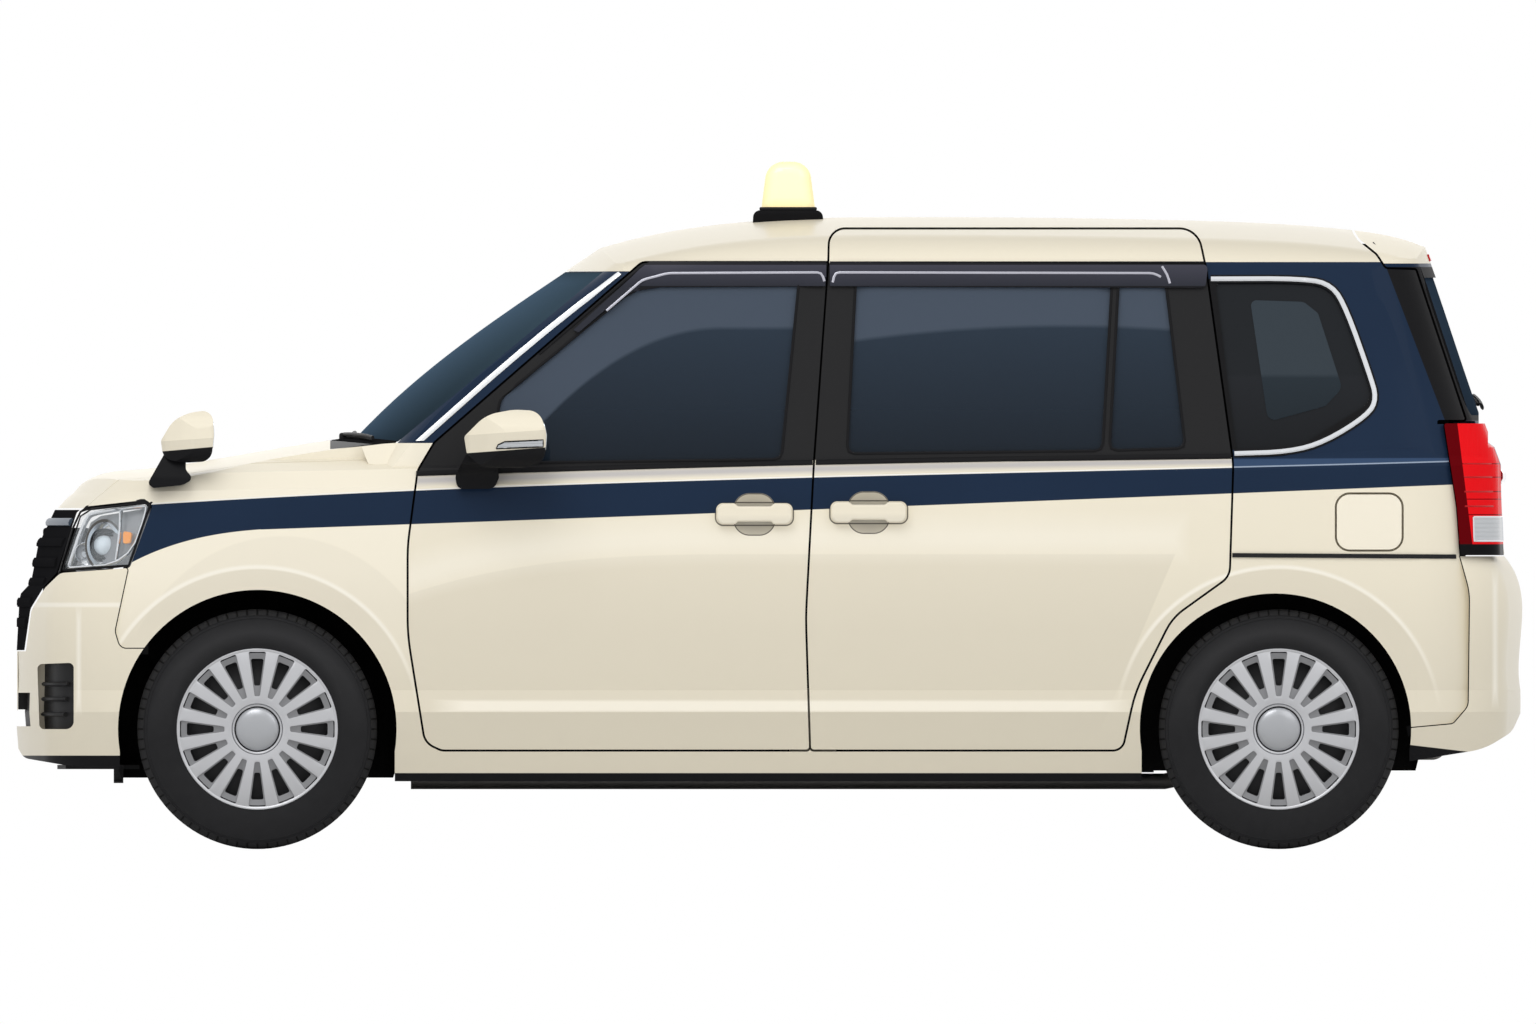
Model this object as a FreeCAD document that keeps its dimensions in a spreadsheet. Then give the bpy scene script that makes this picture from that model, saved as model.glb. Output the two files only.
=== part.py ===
import FreeCAD, Part
import math
import os

# A compact tall taxi cab, five doors, in millimetres.
# +X is forward, +Y the car's left, +Z up; the origin is on the ground under the middle of the car.

Vector = FreeCAD.Vector

DOC = FreeCAD.newDocument("TaxiCab")
SHEET = DOC.addObject("Spreadsheet::Sheet", "Sizes")

# alias, value
DIMENSIONS = (
    ("wheelbase", 2860.0),
    ("axle_height", 336.0),
    ("tyre_radius", 336.0),
    ("tyre_width", 200.0),
    ("track_half", 715.0),
    ("cover_radius", 227.0),
    ("hub_radius", 61.0),
    ("rim_radius", 206.0),
    ("insert_depth", 26.0),
    ("column_lean", -65.0),
    ("plate_skin", 2.0),
    ("handle_depth", 28.0),
    ("handle_round", 6.0),
    ("cup_depth", 22.0),
    ("lamp_proud", 26.0),
    ("dome_round", 34.0),
    ("base_round", 12.0),
    ("flap_skin", 5.0),
    ("flap_pocket", 35.0),
    ("arch_radius", 390.0),
    ("well_inner", 430.0),
    ("house_inner", 590.0),
    ("wall", 60.0),
    ("hood_wall", 35.0),
    ("glass", 5.0),
    ("glass_depth", 8.0),
    ("screen_depth", 3.0),
    ("cowl_skin", 12.0),
    ("slot_count", 16.0),
    ("slot_inner", 100.0),
    ("slot_outer", 204.0),
    ("slot_narrow", 15.0),
    ("slot_wide", 44.0),
    ("shut_gap", 6.0),
    ("seam_gap", 3.0),
    ("seat_width", 500.0),
    ("seat_offset", 360.0),
    ("bench_width", 1140.0),
    ("steer_rim", 185.0),
    ("steer_tube", 14.0),
    ("plate_width", 330.0),
    ("plate_height", 165.0),
    ("plate_hole", 3.0),
    ("plate_pitch", 210.0),
)

for row, (alias, value) in enumerate(DIMENSIONS, start=1):
    SHEET.set("A%d" % row, str(value))
    SHEET.setAlias("A%d" % row, alias)
DOC.recompute()


def size(alias):
    """A value from the sheet of sizes."""
    return float(SHEET.get(alias))


WALL = size("wall")
GAP = size("shut_gap")
SEAM = size("seam_gap")
AXLE_X = size("wheelbase") / 2.0
AXLE_Z = size("axle_height")

# ---------------------------------------------------------------- outlines and lofts

# Each row is a plan outline: height, forward tilt, half width, nose, tail,
# then the nose, nose corner, tail and tail corner radii.
ROCKER = (
    (190.0, 0.0, 780.0, 2070.0, -2070.0, 2400.0, 250.0, 5000.0, 235.0),
    (384.0, 0.0, 845.0, 2080.0, -2080.0, 2400.0, 250.0, 5000.0, 235.0),
    (445.0, 0.0, 828.0, 2076.0, -2076.0, 2400.0, 250.0, 5000.0, 235.0),
)
SIDE = (
    (445.0, 0.0, 828.0, 2076.0, -2076.0, 2400.0, 250.0, 5000.0, 235.0),
    (620.0, 0.0, 842.0, 2073.0, -2071.0, 2400.0, 250.0, 5000.0, 235.0),
    (810.0, 0.0, 847.5, 2053.0, -2062.0, 2400.0, 250.0, 5000.0, 235.0),
    (1036.0, 0.02, 835.0, 1945.0, -2052.0, 2400.0, 250.0, 5000.0, 235.0),
)
SHOULDER = (
    (1036.0, 0.02, 835.0, 1945.0, -2052.0, 2400.0, 250.0, 5000.0, 235.0),
    (1085.0, 0.02, 800.0, 1900.0, -2034.0, 2400.0, 250.0, 5000.0, 235.0),
    (1118.0, 0.02, 700.0, 1820.0, -1990.0, 2400.0, 250.0, 5000.0, 235.0),
    (1260.0, 0.02, 692.0, 1815.0, -1985.0, 2400.0, 250.0, 5000.0, 235.0),
)
CABIN = (
    (1040.0, 0.02, 815.0, 1270.0, -2052.0, 1900.0, 130.0, 5000.0, 225.0),
    (1320.0, 0.0, 763.0, 979.0, -1964.0, 1900.0, 125.0, 4600.0, 190.0),
    (1600.0, 0.0, 700.0, 594.0, -1870.0, 1900.0, 115.0, 4200.0, 150.0),
    (1800.0, 0.0, 655.0, 300.0, -1796.0, 1900.0, 115.0, 4200.0, 150.0),
)
BUMPER_LOW = (
    (190.0, 0.0, 784.0, 2092.0, -2092.0, 2400.0, 250.0, 5000.0, 235.0),
    (384.0, 0.0, 845.5, 2107.0, -2107.0, 2400.0, 250.0, 5000.0, 235.0),
    (445.0, 0.0, 829.0, 2105.0, -2107.0, 2400.0, 250.0, 5000.0, 235.0),
)
BUMPER_HIGH = (
    (445.0, 0.0, 829.0, 2105.0, -2107.0, 2400.0, 250.0, 5000.0, 235.0),
    (600.0, 0.0, 842.0, 2106.0, -2108.0, 2400.0, 250.0, 5000.0, 235.0),
    (735.0, 0.0, 847.0, 2093.0, -2105.0, 2400.0, 250.0, 5000.0, 235.0),
    (830.0, 0.0, 848.0, 2050.0, -2052.0, 2400.0, 250.0, 5000.0, 235.0),
)
GRILLE = (
    (500.0, 0.0, 840.0, 2107.0, -2000.0, 2400.0, 250.0, 5000.0, 235.0),
    (700.0, 0.0, 845.0, 2096.0, -2000.0, 2400.0, 250.0, 5000.0, 235.0),
    (716.0, 0.0, 845.0, 2092.0, -2000.0, 2400.0, 250.0, 5000.0, 235.0),
    (746.0, 0.0, 846.0, 2064.0, -2000.0, 2400.0, 250.0, 5000.0, 235.0),
    (850.0, 0.0, 846.0, 2044.0, -2000.0, 2400.0, 250.0, 5000.0, 235.0),
    (960.0, 0.0, 840.0, 1992.0, -2000.0, 2400.0, 250.0, 5000.0, 235.0),
)
SIDE_RADIUS = 45000.0

# Cross sections of the roof: station, crown height, half width at the belt, edge radius.
ROOF = (
    (1320.0, 1480.0, 768.0, 40.0),
    (640.0, 1602.0, 790.0, 40.0),
    (389.0, 1705.0, 797.0, 60.0),
    (42.0, 1758.0, 800.0, 110.0),
    (-370.0, 1770.0, 801.0, 120.0),
    (-1154.0, 1761.0, 797.0, 120.0),
    (-1637.0, 1733.0, 780.0, 100.0),
    (-1990.0, 1580.0, 750.0, 60.0),
)
TUMBLEHOME = 0.208
BELT_HEIGHT = 1085.0
ROOF_CROWN = 3600.0

# Cross sections of the hood's top: station, centre height.
HOOD_TOP = (
    (2120.0, 860.0),
    (2000.0, 945.0),
    (1918.0, 1025.0),
    (1778.0, 1062.0),
    (1500.0, 1100.0),
    (1165.0, 1154.0),
    (900.0, 1190.0),
)
HOOD_CROWN = 8500.0


def meeting(first, first_radius, second, second_radius):
    """The left-hand crossing of two circles in plan."""
    along = (second[0] - first[0], second[1] - first[1])
    apart = math.hypot(*along)
    reach = (first_radius ** 2 - second_radius ** 2 + apart ** 2) / (2.0 * apart)
    rise = math.sqrt(first_radius ** 2 - reach ** 2)
    middle = (first[0] + reach * along[0] / apart, first[1] + reach * along[1] / apart)
    turn = (-rise * along[1] / apart, rise * along[0] / apart)
    one = (middle[0] + turn[0], middle[1] + turn[1])
    other = (middle[0] - turn[0], middle[1] - turn[1])
    return max(one, other, key=lambda point: point[1])


def toward(centre, point, radius):
    """The point at a radius from a centre, in the direction of another point."""
    apart = math.hypot(point[0] - centre[0], point[1] - centre[1])
    share = radius / apart
    return (centre[0] + (point[0] - centre[0]) * share, centre[1] + (point[1] - centre[1]) * share)


def between(centre, first, second, radius):
    """The point at a radius from a centre, halfway between two others."""
    return toward(centre, ((first[0] + second[0]) / 2.0, (first[1] + second[1]) / 2.0), radius)


def plan_wire(row, inset):
    """Eight tangent arcs round the car at one height."""
    height, tilt, half, nose, tail, nose_radius, nose_corner, tail_radius, tail_corner = row
    nose_centre = (nose - nose_radius, 0.0)
    tail_centre = (tail + tail_radius, 0.0)
    side_centre = (0.0, half - SIDE_RADIUS)
    front = meeting(nose_centre, nose_radius - nose_corner, side_centre, SIDE_RADIUS - nose_corner)
    back = meeting(tail_centre, tail_radius - tail_corner, side_centre, SIDE_RADIUS - tail_corner)
    one = toward(nose_centre, front, nose_radius - inset)
    two = toward(side_centre, front, SIDE_RADIUS - inset)
    three = toward(side_centre, back, SIDE_RADIUS - inset)
    four = toward(tail_centre, back, tail_radius - inset)
    mid_front = between(front, one, two, nose_corner - inset)
    mid_side = between(side_centre, two, three, SIDE_RADIUS - inset)
    mid_back = between(back, three, four, tail_corner - inset)

    def lift(point, hand=1.0):
        """A plan point set at its height, which falls along the tilt."""
        return Vector(point[0], hand * point[1], height - tilt * point[0])

    arcs = (
        (lift(one, -1.0), lift((nose - inset, 0.0)), lift(one)),
        (lift(one), lift(mid_front), lift(two)),
        (lift(two), lift(mid_side), lift(three)),
        (lift(three), lift(mid_back), lift(four)),
        (lift(four), lift((tail + inset, 0.0)), lift(four, -1.0)),
        (lift(four, -1.0), lift(mid_back, -1.0), lift(three, -1.0)),
        (lift(three, -1.0), lift(mid_side, -1.0), lift(two, -1.0)),
        (lift(two, -1.0), lift(mid_front, -1.0), lift(one, -1.0)),
    )
    return Part.Wire([Part.Arc(*arc).toShape() for arc in arcs])


def plan_loft(rows, inset, ruled):
    """A solid through plan outlines, each drawn in by the same inset."""
    return Part.makeLoft([plan_wire(row, inset) for row in rows], True, ruled)


def roof_wire(row, inset):
    """One cross section of the cabin above the belt: leaning sides, edge arcs and a crown."""
    station, crown, half, edge_radius = row
    slant = math.hypot(1.0, TUMBLEHOME)
    crown = crown - 0.75 * inset
    centre_height = crown - ROOF_CROWN
    edge = max(edge_radius - inset, 10.0)

    def side(height, depth):
        """Half the width at a height, drawn in by a depth square to the leaning side."""
        return half - depth * slant - TUMBLEHOME * (height - BELT_HEIGHT)

    low, high = 1100.0, crown
    for _ in range(60):
        middle = (low + high) / 2.0
        if math.hypot(side(middle, inset + edge), middle - centre_height) < ROOF_CROWN - edge:
            low = middle
        else:
            high = middle
    centre = (side(low, inset + edge), low)
    start = (centre[0] + edge / slant, centre[1] + edge * TUMBLEHOME / slant)
    end = toward((0.0, centre_height), centre, ROOF_CROWN)
    corner = between(centre, start, end, edge)
    foot = (side(1000.0, inset), 1000.0)

    def lift(point, hand=1.0):
        """A point across and up, set at its station."""
        return Vector(station, hand * point[0], point[1])

    edges = (
        Part.LineSegment(lift(foot, -1.0), lift(foot)),
        Part.LineSegment(lift(foot), lift(start)),
        Part.Arc(lift(start), lift(corner), lift(end)),
        Part.Arc(lift(end), Vector(station, 0.0, crown), lift(end, -1.0)),
        Part.Arc(lift(end, -1.0), lift(corner, -1.0), lift(start, -1.0)),
        Part.LineSegment(lift(start, -1.0), lift(foot, -1.0)),
    )
    return Part.Wire([edge_curve.toShape() for edge_curve in edges])


def hood_wire(row, depth):
    """One cross section of everything under the hood's crowned top."""
    station, centre = row
    top = centre - depth
    half = 900.0
    side = top - (HOOD_CROWN - math.sqrt(HOOD_CROWN ** 2 - half ** 2))
    edges = (
        Part.LineSegment(Vector(station, -half, 150.0), Vector(station, half, 150.0)),
        Part.LineSegment(Vector(station, half, 150.0), Vector(station, half, side)),
        Part.Arc(Vector(station, half, side), Vector(station, 0.0, top), Vector(station, -half, side)),
        Part.LineSegment(Vector(station, -half, side), Vector(station, -half, 150.0)),
    )
    return Part.Wire([edge_curve.toShape() for edge_curve in edges])


def under_hood(depth):
    """All the room below the hood's top, and below the belt behind it."""
    nose = Part.makeLoft([hood_wire(row, depth) for row in HOOD_TOP], True, False)
    return nose.fuse(box(-2150.0, 950.0, -950.0, 950.0, 0.0, 1158.0))


def cabin_solid(inset):
    """The car above the belt: leaning sides under the crowned roof."""
    roof = Part.makeLoft([roof_wire(row, inset) for row in ROOF], True, False)
    return plan_loft(CABIN, inset, False).common(roof)


def lower_solid(inset, depth):
    """The car below the belt, its sides drawn in by the inset and its hood lowered by the depth."""
    parts = plan_loft(ROCKER, inset, True)
    parts = parts.fuse([plan_loft(SIDE, inset, False), plan_loft(SHOULDER, inset, True)])
    return parts.common(under_hood(depth))


def rounded(rows, place):
    """A closed wire through corners given as two coordinates and a corner radius."""
    count = len(rows)
    edges = []
    ends = []
    for index, (across, up, radius) in enumerate(rows):
        here = (across, up)
        before = rows[index - 1][:2]
        after = rows[(index + 1) % count][:2]
        back = math.hypot(before[0] - across, before[1] - up)
        ahead = math.hypot(after[0] - across, after[1] - up)
        one = ((before[0] - across) / back, (before[1] - up) / back)
        two = ((after[0] - across) / ahead, (after[1] - up) / ahead)
        cosine = max(-1.0, min(1.0, one[0] * two[0] + one[1] * two[1]))
        half = math.acos(cosine) / 2.0
        if radius <= 0.0 or half > math.pi / 2.0 - 1e-4:
            ends.append((here, None, here))
            continue
        trim = min(radius / math.tan(half), 0.49 * back, 0.49 * ahead)
        used = trim * math.tan(half)
        start = (across + one[0] * trim, up + one[1] * trim)
        stop = (across + two[0] * trim, up + two[1] * trim)
        bisect = (one[0] + two[0], one[1] + two[1])
        length = math.hypot(*bisect)
        reach = used / math.sin(half)
        centre = (across + bisect[0] / length * reach, up + bisect[1] / length * reach)
        ends.append((start, toward(centre, here, used), stop))
    for index, (start, middle, stop) in enumerate(ends):
        if middle is not None:
            edges.append(Part.Arc(place(*start), place(*middle), place(*stop)).toShape())
        follow = ends[(index + 1) % count][0]
        if math.hypot(follow[0] - stop[0], follow[1] - stop[1]) > 1e-6:
            edges.append(Part.LineSegment(place(*stop), place(*follow)).toShape())
    return Part.Wire(edges)


def side_face(rows, offset=0.0):
    """A side-view outline as a face, grown by the offset."""
    wire = rounded(rows, lambda across, up: Vector(across, 0.0, up))
    if offset:
        wire = wire.makeOffset2D(offset)
    return Part.Face(wire)


def side_prism(rows, start=200.0, stop=1000.0, offset=0.0):
    """A side-view outline, drawn as X and Z, carried across the car."""
    face = side_face(rows, offset)
    face.translate(Vector(0.0, start, 0.0))
    return face.extrude(Vector(0.0, stop - start, 0.0))


def plan_prism(rows, start, stop, offset=0.0):
    """A plan outline, drawn as X and Y, carried upwards."""
    wire = rounded(rows, lambda across, up: Vector(across, up, start))
    if offset:
        wire = wire.makeOffset2D(offset)
    return Part.Face(wire).extrude(Vector(0.0, 0.0, stop - start))


def rear_prism(rows, start, stop):
    """A rear-view outline, drawn as Y and Z, carried along the car."""
    face = Part.Face(rounded(rows, lambda across, up: Vector(start, across, up)))
    return face.extrude(Vector(stop - start, 0.0, 0.0))


def mirrored(shape):
    """The same shape on the car's other side."""
    return shape.mirror(Vector(0.0, 0.0, 0.0), Vector(0.0, 1.0, 0.0))


def box(x0, x1, y0, y1, z0, z1):
    """A box between its lowest and highest place on each axis."""
    return Part.makeBox(x1 - x0, y1 - y0, z1 - z0, Vector(x0, y0, z0))


def feature(name, shape):
    """One sub-part whose shape comes from the car's lofted skin."""
    part = DOC.addObject("Part::Feature", name)
    part.Label = name
    solids = shape.Solids
    part.Shape = solids[0] if len(solids) == 1 else Part.makeCompound(solids)
    part.Placement = FreeCAD.Placement()
    return part


# ---------------------------------------------------------------- side-view outlines (X, Z, corner radius)

FRONT_DOOR = (
    (914.0, 279.0, 40.0),
    (958.0, 300.0, 60.0),
    (1006.0, 600.0, 600.0),
    (1006.0, 850.0, 500.0),
    (978.0, 1060.0, 60.0),
    (932.0, 1137.0, 40.0),
    (352.0, 1641.0, 30.0),
    (-166.0, 1641.0, 0.0),
    (-126.0, 1089.0, 800.0),
    (-103.0, 650.0, 900.0),
    (-115.0, 279.0, 8.0),
)
SLIDING_DOOR = (
    (-121.0, 279.0, 8.0),
    (-109.0, 650.0, 900.0),
    (-132.0, 1089.0, 800.0),
    (-172.0, 1650.0, 0.0),
    (-174.0, 1735.0, 45.0),
    (-1200.0, 1735.0, 60.0),
    (-1225.0, 1620.0, 100.0),
    (-1300.0, 1080.0, 300.0),
    (-1290.0, 765.0, 50.0),
    (-1130.0, 650.0, 160.0),
    (-1025.0, 440.0, 400.0),
    (-990.0, 279.0, 30.0),
)
FRONT_WINDOW = (
    (756.0, 1085.0, 20.0),
    (750.0, 1262.0, 20.0),
    (398.0, 1545.0, 60.0),
    (300.0, 1600.0, 40.0),
    (-84.0, 1600.0, 20.0),
    (-34.0, 1095.0, 20.0),
)
REAR_WINDOW = (
    (-225.0, 1111.0, 20.0),
    (-250.0, 1600.0, 20.0),
    (-960.0, 1600.0, 12.0),
    (-933.0, 1119.0, 12.0),
)
VENT_WINDOW = (
    (-960.0, 1120.0, 12.0),
    (-986.0, 1600.0, 12.0),
    (-1108.0, 1600.0, 20.0),
    (-1165.0, 1126.0, 20.0),
)
QUARTER_WINDOW = (
    (-1312.0, 1108.0, 20.0),
    (-1252.0, 1590.0, 20.0),
    (-1575.0, 1594.0, 90.0),
    (-1700.0, 1258.0, 60.0),
    (-1450.0, 1104.0, 160.0),
)
WINDSCREEN_FIELD = (
    (1320.0, 1141.0, 0.0),
    (1036.0, 1141.0, 0.0),
    (462.0, 1616.0, 0.0),
    (700.0, 1616.0, 0.0),
    (1400.0, 1300.0, 0.0),
)
HEADLAMP = (
    (1988.0, 776.0, 20.0),
    (1932.0, 940.0, 20.0),
    (1904.0, 957.0, 10.0),
    (1742.0, 975.0, 12.0),
    (1726.0, 962.0, 12.0),
    (1789.0, 790.0, 12.0),
)
BUMPER_FRONT = (
    (2150.0, 150.0, 0.0),
    (1600.0, 150.0, 0.0),
    (1600.0, 561.0, 0.0),
    (1815.0, 561.0, 25.0),
    (1830.0, 610.0, 40.0),
    (1792.0, 787.0, 6.0),
    (1982.0, 773.0, 30.0),
    (2024.0, 732.0, 60.0),
    (2062.0, 670.0, 40.0),
    (2078.0, 554.0, 0.0),
    (2150.0, 554.0, 0.0),
)
GRILLE_FIELD = (
    (2150.0, 557.0, 0.0),
    (2082.0, 557.0, 0.0),
    (2065.0, 673.0, 40.0),
    (2027.0, 735.0, 60.0),
    (1992.0, 773.0, 20.0),
    (1935.0, 943.0, 10.0),
    (1925.0, 951.0, 0.0),
    (2150.0, 951.0, 0.0),
)
NOSE_PROFILE = (
    (1400.0, 150.0, 0.0),
    (1400.0, 224.0, 0.0),
    (1809.0, 224.0, 0.0),
    (1940.0, 230.0, 600.0),
    (2084.0, 255.0, 30.0),
    (2112.0, 305.0, 20.0),
    (2300.0, 305.0, 0.0),
    (2300.0, 150.0, 0.0),
)
BUMPER_REAR = (
    (-2200.0, 150.0, 0.0),
    (-1700.0, 150.0, 0.0),
    (-1700.0, 330.0, 0.0),
    (-1919.0, 350.0, 20.0),
    (-1962.0, 400.0, 40.0),
    (-1966.0, 720.0, 200.0),
    (-1938.0, 820.0, 0.0),
    (-2200.0, 820.0, 0.0),
)
TAIL_PROFILE = (
    (-1500.0, 150.0, 0.0),
    (-1500.0, 240.0, 0.0),
    (-1789.0, 245.0, 0.0),
    (-2005.0, 280.0, 200.0),
    (-2083.0, 328.0, 60.0),
    (-2112.0, 392.0, 20.0),
    (-2300.0, 392.0, 0.0),
    (-2300.0, 150.0, 0.0),
)
TAILGATE_FIELD = (
    (-1640.0, 1850.0, 0.0),
    (-1640.0, 1733.0, 30.0),
    (-1656.0, 1708.0, 40.0),
    (-1706.0, 1668.0, 40.0),
    (-1731.0, 1630.0, 10.0),
    (-1817.0, 1627.0, 10.0),
    (-1960.0, 1196.0, 10.0),
    (-1880.0, 1196.0, 0.0),
    (-1880.0, 826.0, 0.0),
    (-2200.0, 826.0, 0.0),
    (-2200.0, 1850.0, 0.0),
)
TAIL_LAMP = (
    (-1939.0, 823.0, 0.0),
    (-1929.0, 960.0, 300.0),
    (-1893.0, 1192.0, 6.0),
    (-2200.0, 1192.0, 0.0),
    (-2200.0, 823.0, 0.0),
)
ROOF_FIELD = (
    (900.0, 1618.0, 0.0),
    (355.0, 1618.0, 0.0),
    (352.0, 1644.0, 0.0),
    (-1722.0, 1644.0, 0.0),
    (-1700.0, 1674.0, 30.0),
    (-1652.0, 1714.0, 30.0),
    (-1637.0, 1735.0, 20.0),
    (-1637.0, 1850.0, 0.0),
    (900.0, 1850.0, 0.0),
)
FENDER_FIELD = (
    (914.0, 150.0, 0.0),
    (914.0, 279.0, 40.0),
    (958.0, 300.0, 60.0),
    (1006.0, 600.0, 600.0),
    (1006.0, 850.0, 500.0),
    (978.0, 1060.0, 60.0),
    (932.0, 1137.0, 0.0),
    (2000.0, 1137.0, 0.0),
    (2150.0, 900.0, 0.0),
    (2150.0, 150.0, 0.0),
)

FUEL_FLAP = (
    (-1593.0, 839.0, 36.0),
    (-1593.0, 993.0, 36.0),
    (-1774.0, 993.0, 36.0),
    (-1774.0, 839.0, 36.0),
)

FOG_VENT = (
    (2040.0, 336.0, 14.0),
    (2046.0, 518.0, 14.0),
    (1944.0, 522.0, 14.0),
    (1944.0, 336.0, 22.0),
)
# The door mirror's head from the side, from the front (Y, Z) and from above (X, Y), then its foot.
MIRROR_SIDE = (
    (843.0, 1106.0, 20.0),
    (851.0, 1155.0, 14.0),
    (790.0, 1216.0, 110.0),
    (712.0, 1231.0, 160.0),
    (640.0, 1227.0, 44.0),
    (620.0, 1165.0, 60.0),
    (626.0, 1084.0, 36.0),
    (690.0, 1067.0, 120.0),
    (800.0, 1068.0, 60.0),
)
MIRROR_FRONT = (
    (872.0, 1064.0, 30.0),
    (868.0, 1190.0, 60.0),
    (890.0, 1233.0, 40.0),
    (1000.0, 1230.0, 60.0),
    (1032.0, 1180.0, 60.0),
    (1028.0, 1100.0, 50.0),
    (990.0, 1064.0, 40.0),
)
MIRROR_PLAN = (
    (853.0, 905.0, 50.0),
    (853.0, 970.0, 60.0),
    (760.0, 1032.0, 150.0),
    (650.0, 1033.0, 60.0),
    (619.0, 1026.0, 14.0),
    (619.0, 876.0, 14.0),
    (650.0, 867.0, 60.0),
    (770.0, 869.0, 100.0),
)
MIRROR_FOOT_SIDE = (
    (846.0, 1104.0, 0.0),
    (876.0, 1044.0, 24.0),
    (870.0, 1008.0, 24.0),
    (766.0, 1009.0, 28.0),
    (753.0, 1040.0, 20.0),
    (760.0, 1104.0, 0.0),
)
MIRROR_FOOT_FRONT = (
    (780.0, 1000.0, 0.0),
    (856.0, 1000.0, 14.0),
    (872.0, 1050.0, 60.0),
    (935.0, 1082.0, 14.0),
    (935.0, 1104.0, 0.0),
    (780.0, 1104.0, 0.0),
)
# The fender mirror in the same four views.
WING_SIDE = (
    (1693.0, 1092.0, 34.0),
    (1700.0, 1144.0, 14.0),
    (1666.0, 1201.0, 90.0),
    (1620.0, 1222.0, 120.0),
    (1556.0, 1231.0, 34.0),
    (1551.0, 1160.0, 100.0),
    (1559.0, 1086.0, 34.0),
    (1630.0, 1082.0, 100.0),
)
WING_FRONT = (
    (718.0, 1080.0, 24.0),
    (714.0, 1190.0, 60.0),
    (738.0, 1232.0, 40.0),
    (842.0, 1230.0, 50.0),
    (870.0, 1180.0, 60.0),
    (866.0, 1100.0, 40.0),
    (838.0, 1080.0, 30.0),
)
WING_PLAN = (
    (1702.0, 752.0, 50.0),
    (1702.0, 822.0, 60.0),
    (1620.0, 870.0, 120.0),
    (1550.0, 866.0, 12.0),
    (1550.0, 718.0, 12.0),
    (1620.0, 713.0, 100.0),
)
WING_FOOT_SIDE = (
    (1692.0, 1104.0, 0.0),
    (1737.0, 1024.0, 12.0),
    (1722.0, 1011.0, 12.0),
    (1640.0, 1019.0, 40.0),
    (1608.0, 1036.0, 14.0),
    (1630.0, 1062.0, 16.0),
    (1630.0, 1104.0, 0.0),
)
WING_FOOT_FRONT = (
    (764.0, 1104.0, 0.0),
    (756.0, 1000.0, 0.0),
    (852.0, 1000.0, 20.0),
    (848.0, 1040.0, 40.0),
    (820.0, 1104.0, 0.0),
)
# A door handle and the hollow behind it, about the middle of the grip.
GRIP_SIDE = (
    (-105.0, -29.0, 20.0),
    (-105.0, 29.0, 20.0),
    (-54.0, 29.0, 9.0),
    (-46.0, 21.5, 9.0),
    (46.0, 21.5, 9.0),
    (54.0, 29.0, 9.0),
    (105.0, 29.0, 20.0),
    (105.0, -29.0, 20.0),
    (54.0, -29.0, 9.0),
    (46.0, -21.5, 9.0),
    (-46.0, -21.5, 9.0),
    (-54.0, -29.0, 9.0),
)
CUP_SIDE = (
    (-59.0, -59.0, 46.0),
    (-59.0, 59.0, 46.0),
    (59.0, 59.0, 46.0),
    (59.0, -59.0, 46.0),
)
DASH_SIDE = (
    (735.0, 790.0, 30.0),
    (752.0, 1010.0, 60.0),
    (860.0, 1068.0, 80.0),
    (1045.0, 1090.0, 0.0),
    (1045.0, 740.0, 0.0),
    (800.0, 730.0, 40.0),
)
FRONT_SEAT = (
    (410.0, 300.0, 40.0),
    (420.0, 560.0, 60.0),
    (60.0, 540.0, 60.0),
    (-60.0, 1095.0, 60.0),
    (-215.0, 1100.0, 60.0),
    (-170.0, 300.0, 40.0),
)
REAR_BENCH = (
    (-430.0, 300.0, 40.0),
    (-420.0, 590.0, 60.0),
    (-840.0, 560.0, 60.0),
    (-900.0, 1130.0, 60.0),
    (-1020.0, 1130.0, 50.0),
    (-1020.0, 450.0, 0.0),
    (-980.0, 300.0, 0.0),
)
DOME_SIDE = (
    (20.0, 1789.0, 0.0),
    (2.0, 1926.0, 52.0),
    (-115.0, 1926.0, 52.0),
    (-133.0, 1789.0, 0.0),
)
LAMP_BASE_SIDE = (
    (43.0, 1748.0, 0.0),
    (41.0, 1789.0, 20.0),
    (-153.0, 1789.0, 20.0),
    (-155.0, 1748.0, 0.0),
)

# Rear-view outlines (Y, Z, corner radius).
TAIL_WINDOW = (
    (-600.0, 1215.0, 60.0),
    (600.0, 1215.0, 60.0),
    (560.0, 1600.0, 60.0),
    (-560.0, 1600.0, 60.0),
)
PILLAR_SECTION = (
    (690.0, 240.0, 0.0),
    (900.0, 240.0, 0.0),
    (900.0, 1700.0, 0.0),
    (560.0, 1700.0, 0.0),
    (690.0, 1090.0, 200.0),
)

# Plan outline of the hood (X, Y, corner radius).
HOOD_PLAN = (
    (1068.0, -700.0, 0.0),
    (1500.0, -700.0, 0.0),
    (1800.0, -655.0, 500.0),
    (1925.0, -600.0, 60.0),
    (2100.0, -600.0, 0.0),
    (2100.0, 600.0, 0.0),
    (1925.0, 600.0, 60.0),
    (1800.0, 655.0, 500.0),
    (1500.0, 700.0, 0.0),
    (1068.0, 700.0, 0.0),
)
HANDLE_SEAT = 843.0
HANDLE_ROOT = 815.0
GRIP_THICK = 19.0
CUP_RADIUS = 110.0
CUP_RISE = -1.5
# Where each door's handle is: X, Z.
FRONT_HANDLE = (38.0, 938.5)
SLIDER_HANDLE = (-282.0, 943.5)
LAMP_START = 520.0
HOOD_REAR = 1228.0
HOOD_REAR_RADIUS = 2000.0


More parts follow.
